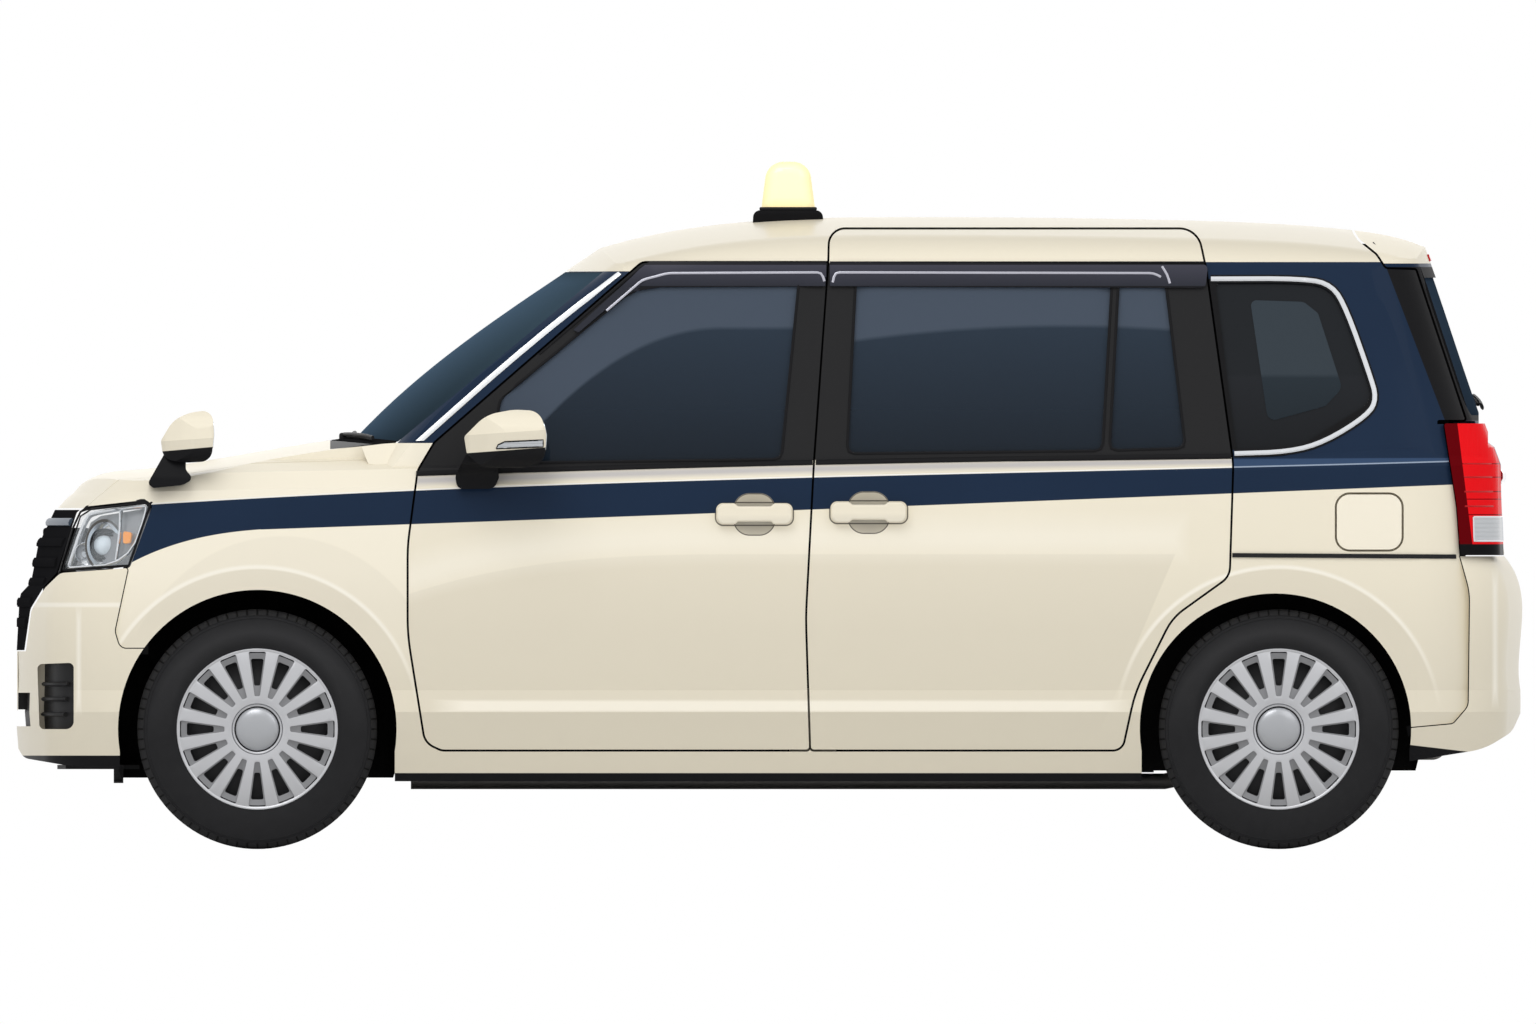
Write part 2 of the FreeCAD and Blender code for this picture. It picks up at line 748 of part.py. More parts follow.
def arch_prism(centre, radius, start, stop):
    """The wheel arch's opening: round over the wheel, straight below its centre."""
    crown = Part.makeCylinder(radius, stop - start, Vector(centre, start, AXLE_Z), Vector(0.0, 1.0, 0.0))
    return crown.fuse(box(centre - radius + 5.0, centre + radius - 5.0, start, stop, 100.0, AXLE_Z))


def keep(shape, least=100000.0):
    """Only the solids of a shape that are bigger than a sliver."""
    return Part.makeCompound([solid for solid in shape.Solids if solid.Volume > least])


def pair(shape):
    """A left-hand shape with its mirror image."""
    return Part.makeCompound(shape.Solids + mirrored(shape).Solids)


def shifted(rows, across, up):
    """The same outline moved along the car and upwards."""
    return [(row[0] + across, row[1] + up, row[2]) for row in rows]


def with_handle(skin, across, up):
    """A door's skin with a pull handle standing over the hollow behind it."""
    face = HANDLE_SEAT + size("handle_depth")
    grip = side_prism(shifted(GRIP_SIDE, across, up), HANDLE_ROOT, face)
    rim = [edge for edge in grip.Edges if edge.BoundBox.YMin > face - 0.5]
    grip = grip.makeFillet(size("handle_round"), rim)
    bowl = Part.makeSphere(CUP_RADIUS, Vector(across, HANDLE_SEAT - size("cup_depth") + CUP_RADIUS, up))
    bowl = bowl.common(side_prism(shifted(CUP_SIDE, across, up + CUP_RISE), HANDLE_ROOT - 20.0, face - GRIP_THICK))
    return skin.fuse(grip).cut(bowl)


def sculpted(side, front, plan):
    """A housing with the given outlines from the side, the front and above."""
    body = side_prism(side, 600.0, 1100.0).common(rear_prism(front, 1900.0, 500.0))
    return body.common(plan_prism(plan, 1000.0, 1300.0))


# ---------------------------------------------------------------- the car's skin

inner_lower = lower_solid(WALL, size("hood_wall"))
outer_lower = lower_solid(0.0, 0.0)
outer_cabin = cabin_solid(0.0)
INNER = inner_lower.fuse(cabin_solid(WALL))
SKIN = outer_lower.fuse(outer_cabin).cut(INNER)
PANE = cabin_solid(size("glass_depth")).cut(cabin_solid(size("glass_depth") + size("glass")))
SCREEN = cabin_solid(size("screen_depth")).cut(cabin_solid(size("screen_depth") + size("glass")))

arch_front = arch_prism(AXLE_X, size("arch_radius"), 300.0, 1000.0)
arch_rear = arch_prism(-AXLE_X + 9.0, size("arch_radius") - 10.0, 300.0, 1000.0)
front_opening = side_prism(FRONT_DOOR, offset=GAP)
sliding_opening = side_prism(SLIDING_DOOR, offset=GAP)
front_window = side_prism(FRONT_WINDOW)
rear_windows = side_prism(REAR_WINDOW).fuse(side_prism(VENT_WINDOW))
quarter_window = side_prism(QUARTER_WINDOW)
screen_field = side_prism(WINDSCREEN_FIELD, -900.0, 900.0)
roof_field = side_prism(ROOF_FIELD, -900.0, 900.0)
lamp_side = box(-2200.0, -1800.0, LAMP_START - GAP, 950.0, 800.0, 1199.0)
lamp_room = box(-2200.0, -1800.0, LAMP_START - 2.0 * GAP, 950.0, 800.0, 1190.0)
tailgate_field = side_prism(TAILGATE_FIELD, -900.0, 900.0).cut([lamp_side, mirrored(lamp_side)])
tailgate_room = side_prism(TAILGATE_FIELD, -900.0, 900.0, GAP).cut([lamp_room, mirrored(lamp_room)])
LEFT_HALF = box(-2200.0, 2200.0, 200.0, 950.0, 100.0, 1900.0)


def hood_region(base, offset):
    """The hood's plan, with its rear edge arched to follow the screen."""
    foot = Vector(HOOD_REAR - HOOD_REAR_RADIUS - offset, 0.0, base - 5.0)
    return plan_prism(HOOD_PLAN, base, 1250.0, offset).cut(Part.makeCylinder(HOOD_REAR_RADIUS, 400.0, foot))


hood_prism = hood_region(955.0, 0.0)
hood_opening = hood_region(950.0, GAP)

# Doors, their handles and their glass.
door = with_handle(SKIN.common(side_prism(FRONT_DOOR)).cut(front_window), *FRONT_HANDLE)
slider = with_handle(SKIN.common(side_prism(SLIDING_DOOR)).cut(rear_windows), *SLIDER_HANDLE)
glass_front = PANE.common(front_window)
feature("door_front_left", door)
feature("door_front_right", mirrored(door))
feature("glass_front_left", glass_front)
feature("glass_front_right", mirrored(glass_front))
feature("sliding_doors", pair(slider))
feature("sliding_door_glass", pair(PANE.common(rear_windows)))
feature("quarter_glass", pair(PANE.common(quarter_window)))

# Roof, screen, hood and the cowl between them.
openings = [front_opening, mirrored(front_opening), sliding_opening, mirrored(sliding_opening)]
feature("roof_panel", keep(SKIN.common(roof_field).cut(openings).cut(tailgate_room)))
feature("windscreen", SCREEN.common(screen_field))
feature("hood", keep(SKIN.common(hood_prism)))
cowl_room = Part.makeCylinder(HOOD_REAR_RADIUS, 300.0, Vector(HOOD_REAR - HOOD_REAR_RADIUS - GAP, 0.0, 1050.0))
cowl_room = cowl_room.common(box(1000.0, 1300.0, -700.0, 700.0, 1050.0, 1250.0))
cowl = outer_lower.cut(lower_solid(WALL, size("cowl_skin"))).common(cowl_room).cut(outer_cabin)
feature("cowl", keep(cowl))

# Body sides from the screen pillar to the tail, with the fuel flap let into them.
side_skin = SKIN.common(LEFT_HALF)
side_skin = side_skin.cut([front_opening, sliding_opening, quarter_window, arch_rear])
side_skin = side_skin.cut([screen_field, roof_field, tailgate_room])
side_skin = side_skin.cut([side_prism(FENDER_FIELD, 0.0, 1000.0), hood_opening])
side_skin = side_skin.cut([side_prism(BUMPER_REAR, 0.0, 1000.0, SEAM), side_prism(TAIL_LAMP, 0.0, 1000.0, SEAM)])
side_skin = side_skin.cut([box(-2200.0, -1700.0, 0.0, 608.0, 100.0, 1196.0), cowl_room])
flap = outer_lower.cut(lower_solid(size("flap_skin"), 0.0)).common(side_prism(FUEL_FLAP, 600.0))
flap_room = outer_lower.cut(lower_solid(size("flap_pocket"), 0.0)).common(side_prism(FUEL_FLAP, 600.0, 1000.0, GAP))
side_skin = keep(side_skin.cut(flap_room))
pillar = rear_prism(PILLAR_SECTION, -190.0, -60.0).common(INNER)
pillar.translate(Vector(0.0, -GAP - 2.0, 0.0))
sill = INNER.common(box(-1000.0, 1000.0, 690.0, 900.0, 215.0, 270.0))
side_frame = side_skin.fuse([sill, pillar])
feature("fuel_flap", flap)
feature("body_side_left", side_frame)
feature("body_side_right", mirrored(side_frame))

# Front fenders and headlamps.
fender = SKIN.common(side_prism(FENDER_FIELD, 300.0, 1000.0))
fender = fender.cut([hood_opening, front_opening, screen_field, arch_front])
fender = fender.cut([side_prism(HEADLAMP, 500.0, 1000.0, SEAM), side_prism(BUMPER_FRONT, 0.0, 1000.0, SEAM)])
fender = keep(fender.cut([side_prism(GRILLE_FIELD, 0.0, 1000.0, SEAM), cowl_room]), 1000000.0)
feature("fender_left", fender)
feature("fender_right", mirrored(fender))
feature("headlamps", pair(keep(SKIN.common(side_prism(HEADLAMP, 560.0, 1000.0)).cut(hood_opening))))

# Bumpers, the dark inserts set back in the front one, and the grille.


def bumper_solid(inset):
    """Both bumpers' outer form, drawn in by the inset."""
    return plan_loft(BUMPER_LOW, inset, True).fuse(plan_loft(BUMPER_HIGH, inset, False))


bumper_core = bumper_solid(WALL)
bumper_skin = bumper_solid(0.0).cut(bumper_core)
vent = side_prism(FOG_VENT, 500.0)
intake = box(2000.0, 2200.0, -430.0, 430.0, 344.0, 438.0)
insets = [vent, mirrored(vent), intake]
front_recess = box(2100.0, 2200.0, -168.0, 168.0, 386.0, 557.0)
arches = [arch_front, mirrored(arch_front), arch_rear, mirrored(arch_rear)]
front_bumper = bumper_skin.common(side_prism(BUMPER_FRONT, -1000.0)).cut(arches)
front_bumper = front_bumper.cut([side_prism(NOSE_PROFILE, -1000.0), front_recess] + insets)
inserts = bumper_solid(size("insert_depth")).cut(bumper_core).common(insets[0].fuse(insets[1:]))
grille = plan_loft(GRILLE, 0.0, True).cut(plan_loft(GRILLE, WALL, True))
grille = grille.common(side_prism(GRILLE_FIELD, -1000.0)).cut(hood_opening)
rear_bumper = bumper_skin.common(side_prism(BUMPER_REAR, -1000.0)).cut(arches)
rear_bumper = rear_bumper.cut(side_prism(TAIL_PROFILE, -1000.0))

# Number plates and the two screw holes behind each.
PLATES = (
    ("plate_front", 2100.0, 1.0, 389.0),
    ("plate_rear", -2040.0, -1.0, 848.0),
)
plate_screws = {}
for name, seat, hand, foot in PLATES:
    half = size("plate_width") / 2.0
    pitch = size("plate_pitch") / 2.0
    level = foot + size("plate_height") - 22.0
    thick = hand * size("plate_skin")
    plate = box(min(seat, seat + thick), max(seat, seat + thick), -half, half, foot, foot + size("plate_height"))
    screws = []
    for across in (-pitch, pitch):
        start = Vector(seat - hand * 40.0, across, level)
        screws.append(Part.makeCylinder(size("plate_hole"), 60.0, start, Vector(hand, 0.0, 0.0)))
    plate_screws[name] = screws
    feature(name, plate.cut(screws))
feature("front_bumper", keep(front_bumper.cut(plate_screws["plate_front"])))
feature("bumper_inserts", keep(inserts.cut(front_recess), 20000.0))
feature("grille", keep(grille))
feature("rear_bumper", keep(rear_bumper))

# Tailgate, its glass and the tail lamps.
tail_window = rear_prism(TAIL_WINDOW, -2200.0, -1700.0)
rear_recess = box(-2200.0, -2040.0, -180.0, 180.0, 838.0, 1023.0)
tailgate = SKIN.common(tailgate_field).cut([tail_window, rear_recess] + plate_screws["plate_rear"])
feature("tailgate", keep(tailgate))
feature("tailgate_glass", keep(PANE.common(tail_window).common(tailgate_field), 1000.0))
tail_block = outer_lower.fuse(outer_cabin).common(box(-2200.0, -1850.0, 480.0, 950.0, 780.0, 1240.0))
proud_block = tail_block.copy()
proud_block.translate(Vector(-size("lamp_proud"), 0.0, 0.0))
tail_lamp = tail_block.fuse(proud_block).cut(INNER).common(side_prism(TAIL_LAMP, LAMP_START))
feature("tail_lamps", pair(keep(tail_lamp)))

# Floor, raised over the rear axle, with the wheel houses, the bulkhead and the luggage floor.
# Each panel: name, rear, front, half width, bottom, top.
FLOOR_PANELS = (
    ("cabin floor", -1050.0, 1090.0, 680.0, 215.0, 245.0),
    ("heel board", -1080.0, -1050.0, 688.0, 215.0, 430.0),
    ("luggage floor", -1990.0, -1080.0, 688.0, 400.0, 430.0),
    ("bulkhead", 1060.0, 1090.0, 688.0, 215.0, 1040.0),
)
floor_limit = lower_solid(WALL + 2.0, 40.0)
panels = [box(x0, x1, -half, half, z0, z1) for _, x0, x1, half, z0, z1 in FLOOR_PANELS]
floor = panels[0].fuse(panels[1:]).common(floor_limit)
house_x = -AXLE_X + 9.0
house_radius = size("arch_radius") - 10.0
house_room = arch_prism(house_x, house_radius, size("house_inner"), 900.0)
house = arch_prism(house_x, house_radius + 12.0, size("house_inner") - 12.0, 900.0).cut(house_room)
house = house.common(floor_limit).common(box(-2000.0, -900.0, 400.0, 900.0, 400.0, 900.0))
front_room = arch_prism(AXLE_X, size("arch_radius"), size("well_inner"), 900.0)
floor = floor.cut([house_room, mirrored(house_room), front_room, mirrored(front_room)])
feature("floor_pan", floor.fuse([house, mirrored(house)]))

# Mirrors: one pair on the front doors, one on stalks on the fenders.
door_foot = side_prism(MIRROR_FOOT_SIDE, 780.0, 940.0).common(rear_prism(MIRROR_FOOT_FRONT, 900.0, 740.0))
door_mirror = sculpted(MIRROR_SIDE, MIRROR_FRONT, MIRROR_PLAN).fuse(door_foot).cut([outer_lower, outer_cabin])
feature("door_mirror_left", door_mirror)
feature("door_mirror_right", mirrored(door_mirror))
wing_foot = side_prism(WING_FOOT_SIDE, 740.0, 880.0).common(rear_prism(WING_FOOT_FRONT, 1760.0, 1600.0))
wing_mirror = sculpted(WING_SIDE, WING_FRONT, WING_PLAN).fuse(wing_foot)
feature("fender_mirrors", pair(wing_mirror.cut(outer_lower)))

# Roof lamp.
lamp_base = side_prism(LAMP_BASE_SIDE, -165.0, 165.0)
lamp_ends = [edge for edge in lamp_base.Edges if edge.BoundBox.YLength < 1.0 and edge.BoundBox.ZMax > 1750.0]
lamp_base = lamp_base.makeFillet(size("base_round"), lamp_ends).cut(outer_cabin)
lamp_base.translate(Vector(0.0, 0.0, 0.5))
feature("roof_lamp_base", lamp_base)
dome = side_prism(DOME_SIDE, -148.0, 148.0)
dome = dome.makeFillet(size("dome_round"), [edge for edge in dome.Edges if edge.BoundBox.ZMax > 1790.0])
dome.translate(Vector(0.0, 0.0, 0.5))
feature("roof_lamp_dome", dome)

# Deflector under the nose.
tray = box(1760.0, 1990.0, -560.0, 560.0, 224.0, 236.0)
flaps = box(1805.0, 1832.0, 470.0, 700.0, 185.0, 236.0)
feature("nose_tray", tray.fuse([flaps, mirrored(flaps)]).cut(bumper_skin))


def pipe(points, radius):
    """Straight tubes between points, with a ball at each bend."""
    runs = []
    for start, stop in zip(points[:-1], points[1:]):
        along = stop.sub(start)
        runs.append(Part.makeCylinder(radius, along.Length, start, along))
    runs.extend(Part.makeSphere(radius, point) for point in points[1:-1])
    return runs[0].fuse(runs[1:])


EXHAUST_ROUTE = [
    Vector(1000.0, -150.0, 190.0),
    Vector(-1110.0, -150.0, 190.0),
    Vector(-1570.0, -200.0, 284.0),
]
PIPE_RADIUS = 22.0
MUFFLER_ROUND = 40.0
muffler = box(-1900.0, -1560.0, -420.0, -60.0, 250.0, 370.0)
muffler = muffler.makeFillet(MUFFLER_ROUND, muffler.Edges[:4])
feature("exhaust", pipe(EXHAUST_ROUTE, PIPE_RADIUS).fuse(muffler))


# ---------------------------------------------------------------- running gear and cabin fittings

def primitive(kind, name, numbers, place, turn=None):
    """A Part primitive whose sizes follow the sheet or an arithmetic expression."""
    part = DOC.addObject("Part::" + kind, name)
    part.Label = name
    for key, expression in numbers:
        part.setExpression(key, expression)
    rotation = turn if turn is not None else FreeCAD.Rotation()
    part.Placement = FreeCAD.Placement(Vector(*place), rotation)
    return part


def block(name, length, width, height, place):
    """A Part box from its lowest corner."""
    return primitive("Box", name, (("Length", length), ("Width", width), ("Height", height)), place)


ALONG_Y = FreeCAD.Rotation(Vector(1.0, 0.0, 0.0), -90.0)


def rod(name, radius, length, place, turn=ALONG_Y):
    """A Part cylinder, across the car unless it is turned."""
    return primitive("Cylinder", name, (("Radius", radius), ("Height", length)), place, turn)


def cut(name, base, tool):
    """One object less another."""
    part = DOC.addObject("Part::Cut", name)
    part.Label = name
    part.Base = base
    part.Tool = tool
    return part


def fuse(name, shapes):
    """Several objects joined as one."""
    part = DOC.addObject("Part::MultiFuse", name)
    part.Label = name
    part.Shapes = shapes
    return part


def fillet(name, base, radius, picks):
    """Rounds the picked edges of an object, given by their positions in its edge list."""
    part = DOC.addObject("Part::Fillet", name)
    part.Label = name
    part.Base = base
    part.Edges = [(number, radius, radius) for number in picks]
    return part


def slots(station, middle):
    """The wheel cover's radial openings, the first at twelve o'clock."""
    inner = size("slot_inner")
    outer = size("slot_outer")
    narrow = size("slot_narrow") / 2.0
    wide = size("slot_wide") / 2.0
    rows = ((-narrow, inner, 6.0), (narrow, inner, 6.0), (wide, outer, 6.0), (-wide, outer, 6.0))
    tool = side_prism(rows, middle - 140.0, middle + 140.0)
    count = int(size("slot_count"))
    tools = []
    for number in range(count):
        turned = tool.copy()
        turned.rotate(Vector(0.0, 0.0, 0.0), Vector(0.0, 1.0, 0.0), 360.0 * number / count)
        turned.translate(Vector(station, 0.0, AXLE_Z))
        tools.append(turned)
    return Part.makeCompound(tools)


# end and side, station, hand
CORNERS = (
    ("front_left", AXLE_X, 1.0),
    ("front_right", AXLE_X, -1.0),
    ("rear_left", -AXLE_X, 1.0),
    ("rear_right", -AXLE_X, -1.0),
)
HALF_TREAD = size("tyre_width") / 2.0
TRACK = size("track_half")

for corner, station, hand in CORNERS:
    middle = hand * TRACK
    start = middle - HALF_TREAD
    blank = rod("tyre_blank_" + corner, "Sizes.tyre_radius", "Sizes.tyre_width", (station, start, AXLE_Z))
    bore = rod("tyre_bore_" + corner, "Sizes.rim_radius", "Sizes.tyre_width + 20", (station, start - 10.0, AXLE_Z))
    face = middle + hand * 90.0
    lip_start = face - 6.0 if hand > 0.0 else face - 14.0
    lip = rod("tyre_lip_" + corner, "Sizes.cover_radius + 1", "20", (station, lip_start, AXLE_Z))
    ring = cut("tyre_ring_" + corner, blank, fuse("tyre_room_" + corner, [bore, lip]))
    DOC.recompute()
    picks = []
    for number, edge in enumerate(ring.Shape.Edges, start=1):
        if edge.Curve.TypeId == "Part::GeomCircle" and edge.Curve.Radius > size("tyre_radius") - 1.0:
            picks.append(number)
    fillet("tyre_" + corner, ring, 32.0, picks)
    disc = rod("cover_blank_" + corner, "Sizes.cover_radius", "8", (station, face - 4.0, AXLE_Z))
    opening = feature("cover_slots_" + corner, slots(station, face))
    cover = cut("cover_" + corner, disc, opening)
    barrel = rod("barrel_" + corner, "Sizes.rim_radius - 0.5", "172", (station, middle - 86.0, AXLE_Z))
    hollow = rod("barrel_hollow_" + corner, "Sizes.rim_radius - 10", "200", (station, middle - 100.0, AXLE_Z))
    rim = cut("rim_" + corner, barrel, hollow)
    web = rod("web_" + corner, "Sizes.rim_radius - 5", "8", (station, middle + hand * 60.0 - 4.0, AXLE_Z))
    hub_start = middle - 6.0 if hand > 0.0 else middle - 94.0
    hub = rod("hub_" + corner, "Sizes.hub_radius + 12", "100", (station, hub_start, AXLE_Z))
    cap = rod("cap_" + corner, "Sizes.hub_radius", "14", (station, middle + hand * 97.0 - 7.0, AXLE_Z))
    solid = fuse("wheel_solid_" + corner, [cover, rim, web, hub, cap])
    bore_start = middle - 20.0 if hand > 0.0 else middle - 50.0
    hub_bore = rod("hub_bore_" + corner, "22.5", "70", (station, bore_start, AXLE_Z))
    cut("wheel_" + corner, solid, hub_bore)

for side, hand in (("left", 1.0), ("right", -1.0)):
    upright = block("upright_" + side, "70", "60", "230", (AXLE_X - 35.0, hand * 550.0 - 30.0, AXLE_Z - 100.0))
    stub_start = 520.0 if hand > 0.0 else -TRACK - 45.0
    stub = rod("stub_" + side, "22", "Sizes.track_half - 475", (AXLE_X, stub_start, AXLE_Z))
    fuse("knuckle_" + side, [upright, stub])

beam = rod("axle_beam", "40", "1160", (-AXLE_X, -580.0, AXLE_Z))
spindle = rod("axle_spindle", "22", "2 * Sizes.track_half + 90", (-AXLE_X, -TRACK - 45.0, AXLE_Z))
fuse("rear_axle", [beam, spindle])

rail_left = block("rail_left", "850", "70", "80", (1091.0, 330.0, 400.0))
rail_right = block("rail_right", "850", "70", "80", (1091.0, -400.0, 400.0))
cross_front = block("cross_front", "50", "1000", "80", (1935.0, -500.0, 400.0))
cross_axle = block("cross_axle", "120", "760", "60", (AXLE_X - 60.0, -380.0, 340.0))
fuse("front_subframe", [rail_left, rail_right, cross_front, cross_axle])
block("engine_block", "480", "560", "480", (1260.0, -280.0, 490.0))

# Cabin: dashboard with the column's shroud, seats, steering wheel.
column_turn = FreeCAD.Rotation(Vector(0.0, 1.0, 0.0), size("column_lean"))
column_axis = column_turn.multVec(Vector(0.0, 0.0, 1.0))
wheel_seat = Vector(600.0, -size("seat_offset"), 1000.0)
dashboard = side_prism(DASH_SIDE, -700.0, 700.0)
shroud = Part.makeCylinder(34.0, 150.0, wheel_seat.sub(column_axis * 240.0), column_axis)
feature("dashboard", dashboard.fuse(shroud))


SEAT_ROUND = 24.0


def seat(rows, start, stop):
    """A seat: one side outline carried across, its long edges eased."""
    blank = side_prism(rows, start, stop)
    edges = [edge for edge in blank.Edges if edge.BoundBox.YLength < 1.0]
    return blank.makeFillet(SEAT_ROUND, edges)


HEADREST_HALF = 130.0
HEADREST_ROUND = 30.0
seat_parts = []
for hand in (1.0, -1.0):
    middle = hand * size("seat_offset")
    half = size("seat_width") / 2.0
    seat_parts.append(seat(FRONT_SEAT, middle - half, middle + half))
    rest = box(-250.0, -160.0, middle - HEADREST_HALF, middle + HEADREST_HALF, 1120.0, 1290.0)
    seat_parts.append(rest.makeFillet(HEADREST_ROUND, rest.Edges))
feature("front_seats", Part.makeCompound(seat_parts))
bench_half = size("bench_width") / 2.0
feature("rear_bench", seat(REAR_BENCH, -bench_half, bench_half))

steering_rim = primitive(
    "Torus",
    "steering_rim",
    (("Radius1", "Sizes.steer_rim"), ("Radius2", "Sizes.steer_tube")),
    wheel_seat,
    column_turn,
)
spoke = block("steering_spoke", "40", "2 * Sizes.steer_rim", "14", (0.0, 0.0, 0.0))
spoke_seat = FreeCAD.Placement(Vector(-20.0, -size("steer_rim"), -7.0), FreeCAD.Rotation())
spoke.Placement = FreeCAD.Placement(wheel_seat, column_turn).multiply(spoke_seat)
boss = rod("steering_boss", "48", "40", wheel_seat.sub(column_axis * 26.0), column_turn)
shaft = rod("steering_shaft", "16", "90", wheel_seat.sub(column_axis * 84.0), column_turn)
fuse("steering_wheel", [steering_rim, spoke, boss, shaft])

NODES = (
    "floor_pan",
    "body_side_left",
    "body_side_right",
    "roof_panel",
    "hood",
    "cowl",
    "fender_left",
    "fender_right",
    "front_bumper",
    "bumper_inserts",
    "rear_bumper",
    "grille",
    "nose_tray",
    "headlamps",
    "tail_lamps",
    "windscreen",
    "door_front_left",
    "door_front_right",
    "glass_front_left",
    "glass_front_right",
    "sliding_doors",
    "sliding_door_glass",
    "quarter_glass",
    "tailgate",
    "tailgate_glass",
    "fuel_flap",
    "door_mirror_left",
    "door_mirror_right",
    "fender_mirrors",
    "roof_lamp_base",
    "roof_lamp_dome",
    "plate_front",
    "plate_rear",
    "tyre_front_left",
    "tyre_front_right",
    "tyre_rear_left",
    "tyre_rear_right",
    "wheel_front_left",
    "wheel_front_right",
    "wheel_rear_left",
    "wheel_rear_right",
    "knuckle_left",
    "knuckle_right",
    "rear_axle",
    "front_subframe",
    "exhaust",
    "engine_block",
    "dashboard",
    "front_seats",
    "rear_bench",
    "steering_wheel",
)

DOC.recompute()
for item in DOC.Objects:
    if "Invalid" in item.State or "Error" in item.State:
        raise RuntimeError("object failed: " + item.Label)
shapes = {node: DOC.getObjectsByLabel(node)[0].Shape for node in NODES}
for node, shape in shapes.items():
    if shape.isNull() or not shape.isValid() or not shape.Solids:
        raise RuntimeError("bad shape: " + node)
os.makedirs("parts", exist_ok=True)
for node, shape in shapes.items():
    shape.exportStep("parts/" + node + ".step")
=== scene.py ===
"""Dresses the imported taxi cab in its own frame: paint, glass, lamps, wheels and seats."""

import logging
import math
from collections.abc import Callable, Iterable, Sequence
from dataclasses import dataclass
from enum import Enum

import bmesh
import bpy
from mathutils import Matrix, Vector
from mathutils.bvhtree import BVHTree

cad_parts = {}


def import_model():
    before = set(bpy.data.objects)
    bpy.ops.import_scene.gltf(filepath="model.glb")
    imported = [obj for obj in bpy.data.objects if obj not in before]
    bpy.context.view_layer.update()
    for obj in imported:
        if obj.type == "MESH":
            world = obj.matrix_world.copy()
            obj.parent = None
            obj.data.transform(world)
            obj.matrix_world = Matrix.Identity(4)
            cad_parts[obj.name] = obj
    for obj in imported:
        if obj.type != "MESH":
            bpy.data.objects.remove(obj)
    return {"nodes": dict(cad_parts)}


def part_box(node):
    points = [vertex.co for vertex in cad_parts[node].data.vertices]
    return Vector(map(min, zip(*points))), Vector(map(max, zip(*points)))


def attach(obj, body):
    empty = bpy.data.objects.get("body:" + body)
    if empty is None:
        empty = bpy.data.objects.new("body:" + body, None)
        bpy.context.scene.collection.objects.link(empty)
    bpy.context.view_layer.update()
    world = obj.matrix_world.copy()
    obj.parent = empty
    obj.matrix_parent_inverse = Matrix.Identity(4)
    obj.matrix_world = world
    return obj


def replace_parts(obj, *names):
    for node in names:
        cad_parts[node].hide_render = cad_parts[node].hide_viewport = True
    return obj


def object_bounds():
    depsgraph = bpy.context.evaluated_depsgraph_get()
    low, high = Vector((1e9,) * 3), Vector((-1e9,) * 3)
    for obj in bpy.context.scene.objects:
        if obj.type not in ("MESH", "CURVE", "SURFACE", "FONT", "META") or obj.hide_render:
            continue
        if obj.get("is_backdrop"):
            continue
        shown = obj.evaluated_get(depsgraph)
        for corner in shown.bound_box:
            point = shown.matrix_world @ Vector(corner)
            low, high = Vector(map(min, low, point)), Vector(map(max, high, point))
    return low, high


LOG = logging.getLogger("taxi")

Colour = tuple[float, float, float]
Pair = tuple[float, float]
Triple = tuple[float, float, float]
Path = tuple[Pair, ...]
Rows = tuple[Triple, ...]
Bodies = tuple[str, str]
Spot = tuple[Vector, Vector]
Place = Callable[[float, float], Spot]

CREAM: Colour = (0.86, 0.795, 0.645)
# Lit and shaded copies of the cream: painted highlight, painted shade, painted light on the tops of
# fenders and hood, and painted shadow in recesses and under things.
CREAM_LIT: Colour = (0.97, 0.93, 0.83)
CREAM_SHADED: Colour = (0.58, 0.53, 0.43)
CREAM_TOP_LIT: Colour = (0.95, 0.89, 0.75)
CREAM_IN_SHADOW: Colour = (0.10, 0.09, 0.075)
NAVY: Colour = (0.010, 0.023, 0.052)
BLACK: Colour = (0.009, 0.009, 0.010)
FRAME_BLACK: Colour = (0.0205, 0.0205, 0.0215)
LINING_BLACK: Colour = (0.05, 0.05, 0.052)

LEFT = 1.0
RIGHT = -1.0
CAB = ("body", "body")
DOORS = ("door_left", "door_right")


class Slot(Enum):
    """The record's material slots."""

    PAINT = "paint"
    GLASS = "glass"
    BLACK = "black_trim"
    CLEAR = "lamp_clear"
    RED = "lamp_red"
    DOME = "lamp_dome"
    TYRE = "tyre"
    SILVER = "wheel_silver"
    STEEL = "steel"
    SEAT = "seat"
    CABIN = "cabin_trim"
    PLATE = "plate"


def toned(colour: Colour, factor: float) -> Colour:
    """A colour made darker or paler by a factor."""
    return tuple(part * factor for part in colour)


# ------------------------------------------------------------------ shader boards


def math_node(operation: str) -> Callable[..., "Flow"]:
    """Writes a method of Flow that adds one kind of Math node.

    Args:
        operation: the node's operation.

    Returns:
        The method.
    """

    def method(self: "Flow", *others: "Flow | float") -> "Flow":
        """Adds the node."""
        return self.maths(operation, *others)

    return method


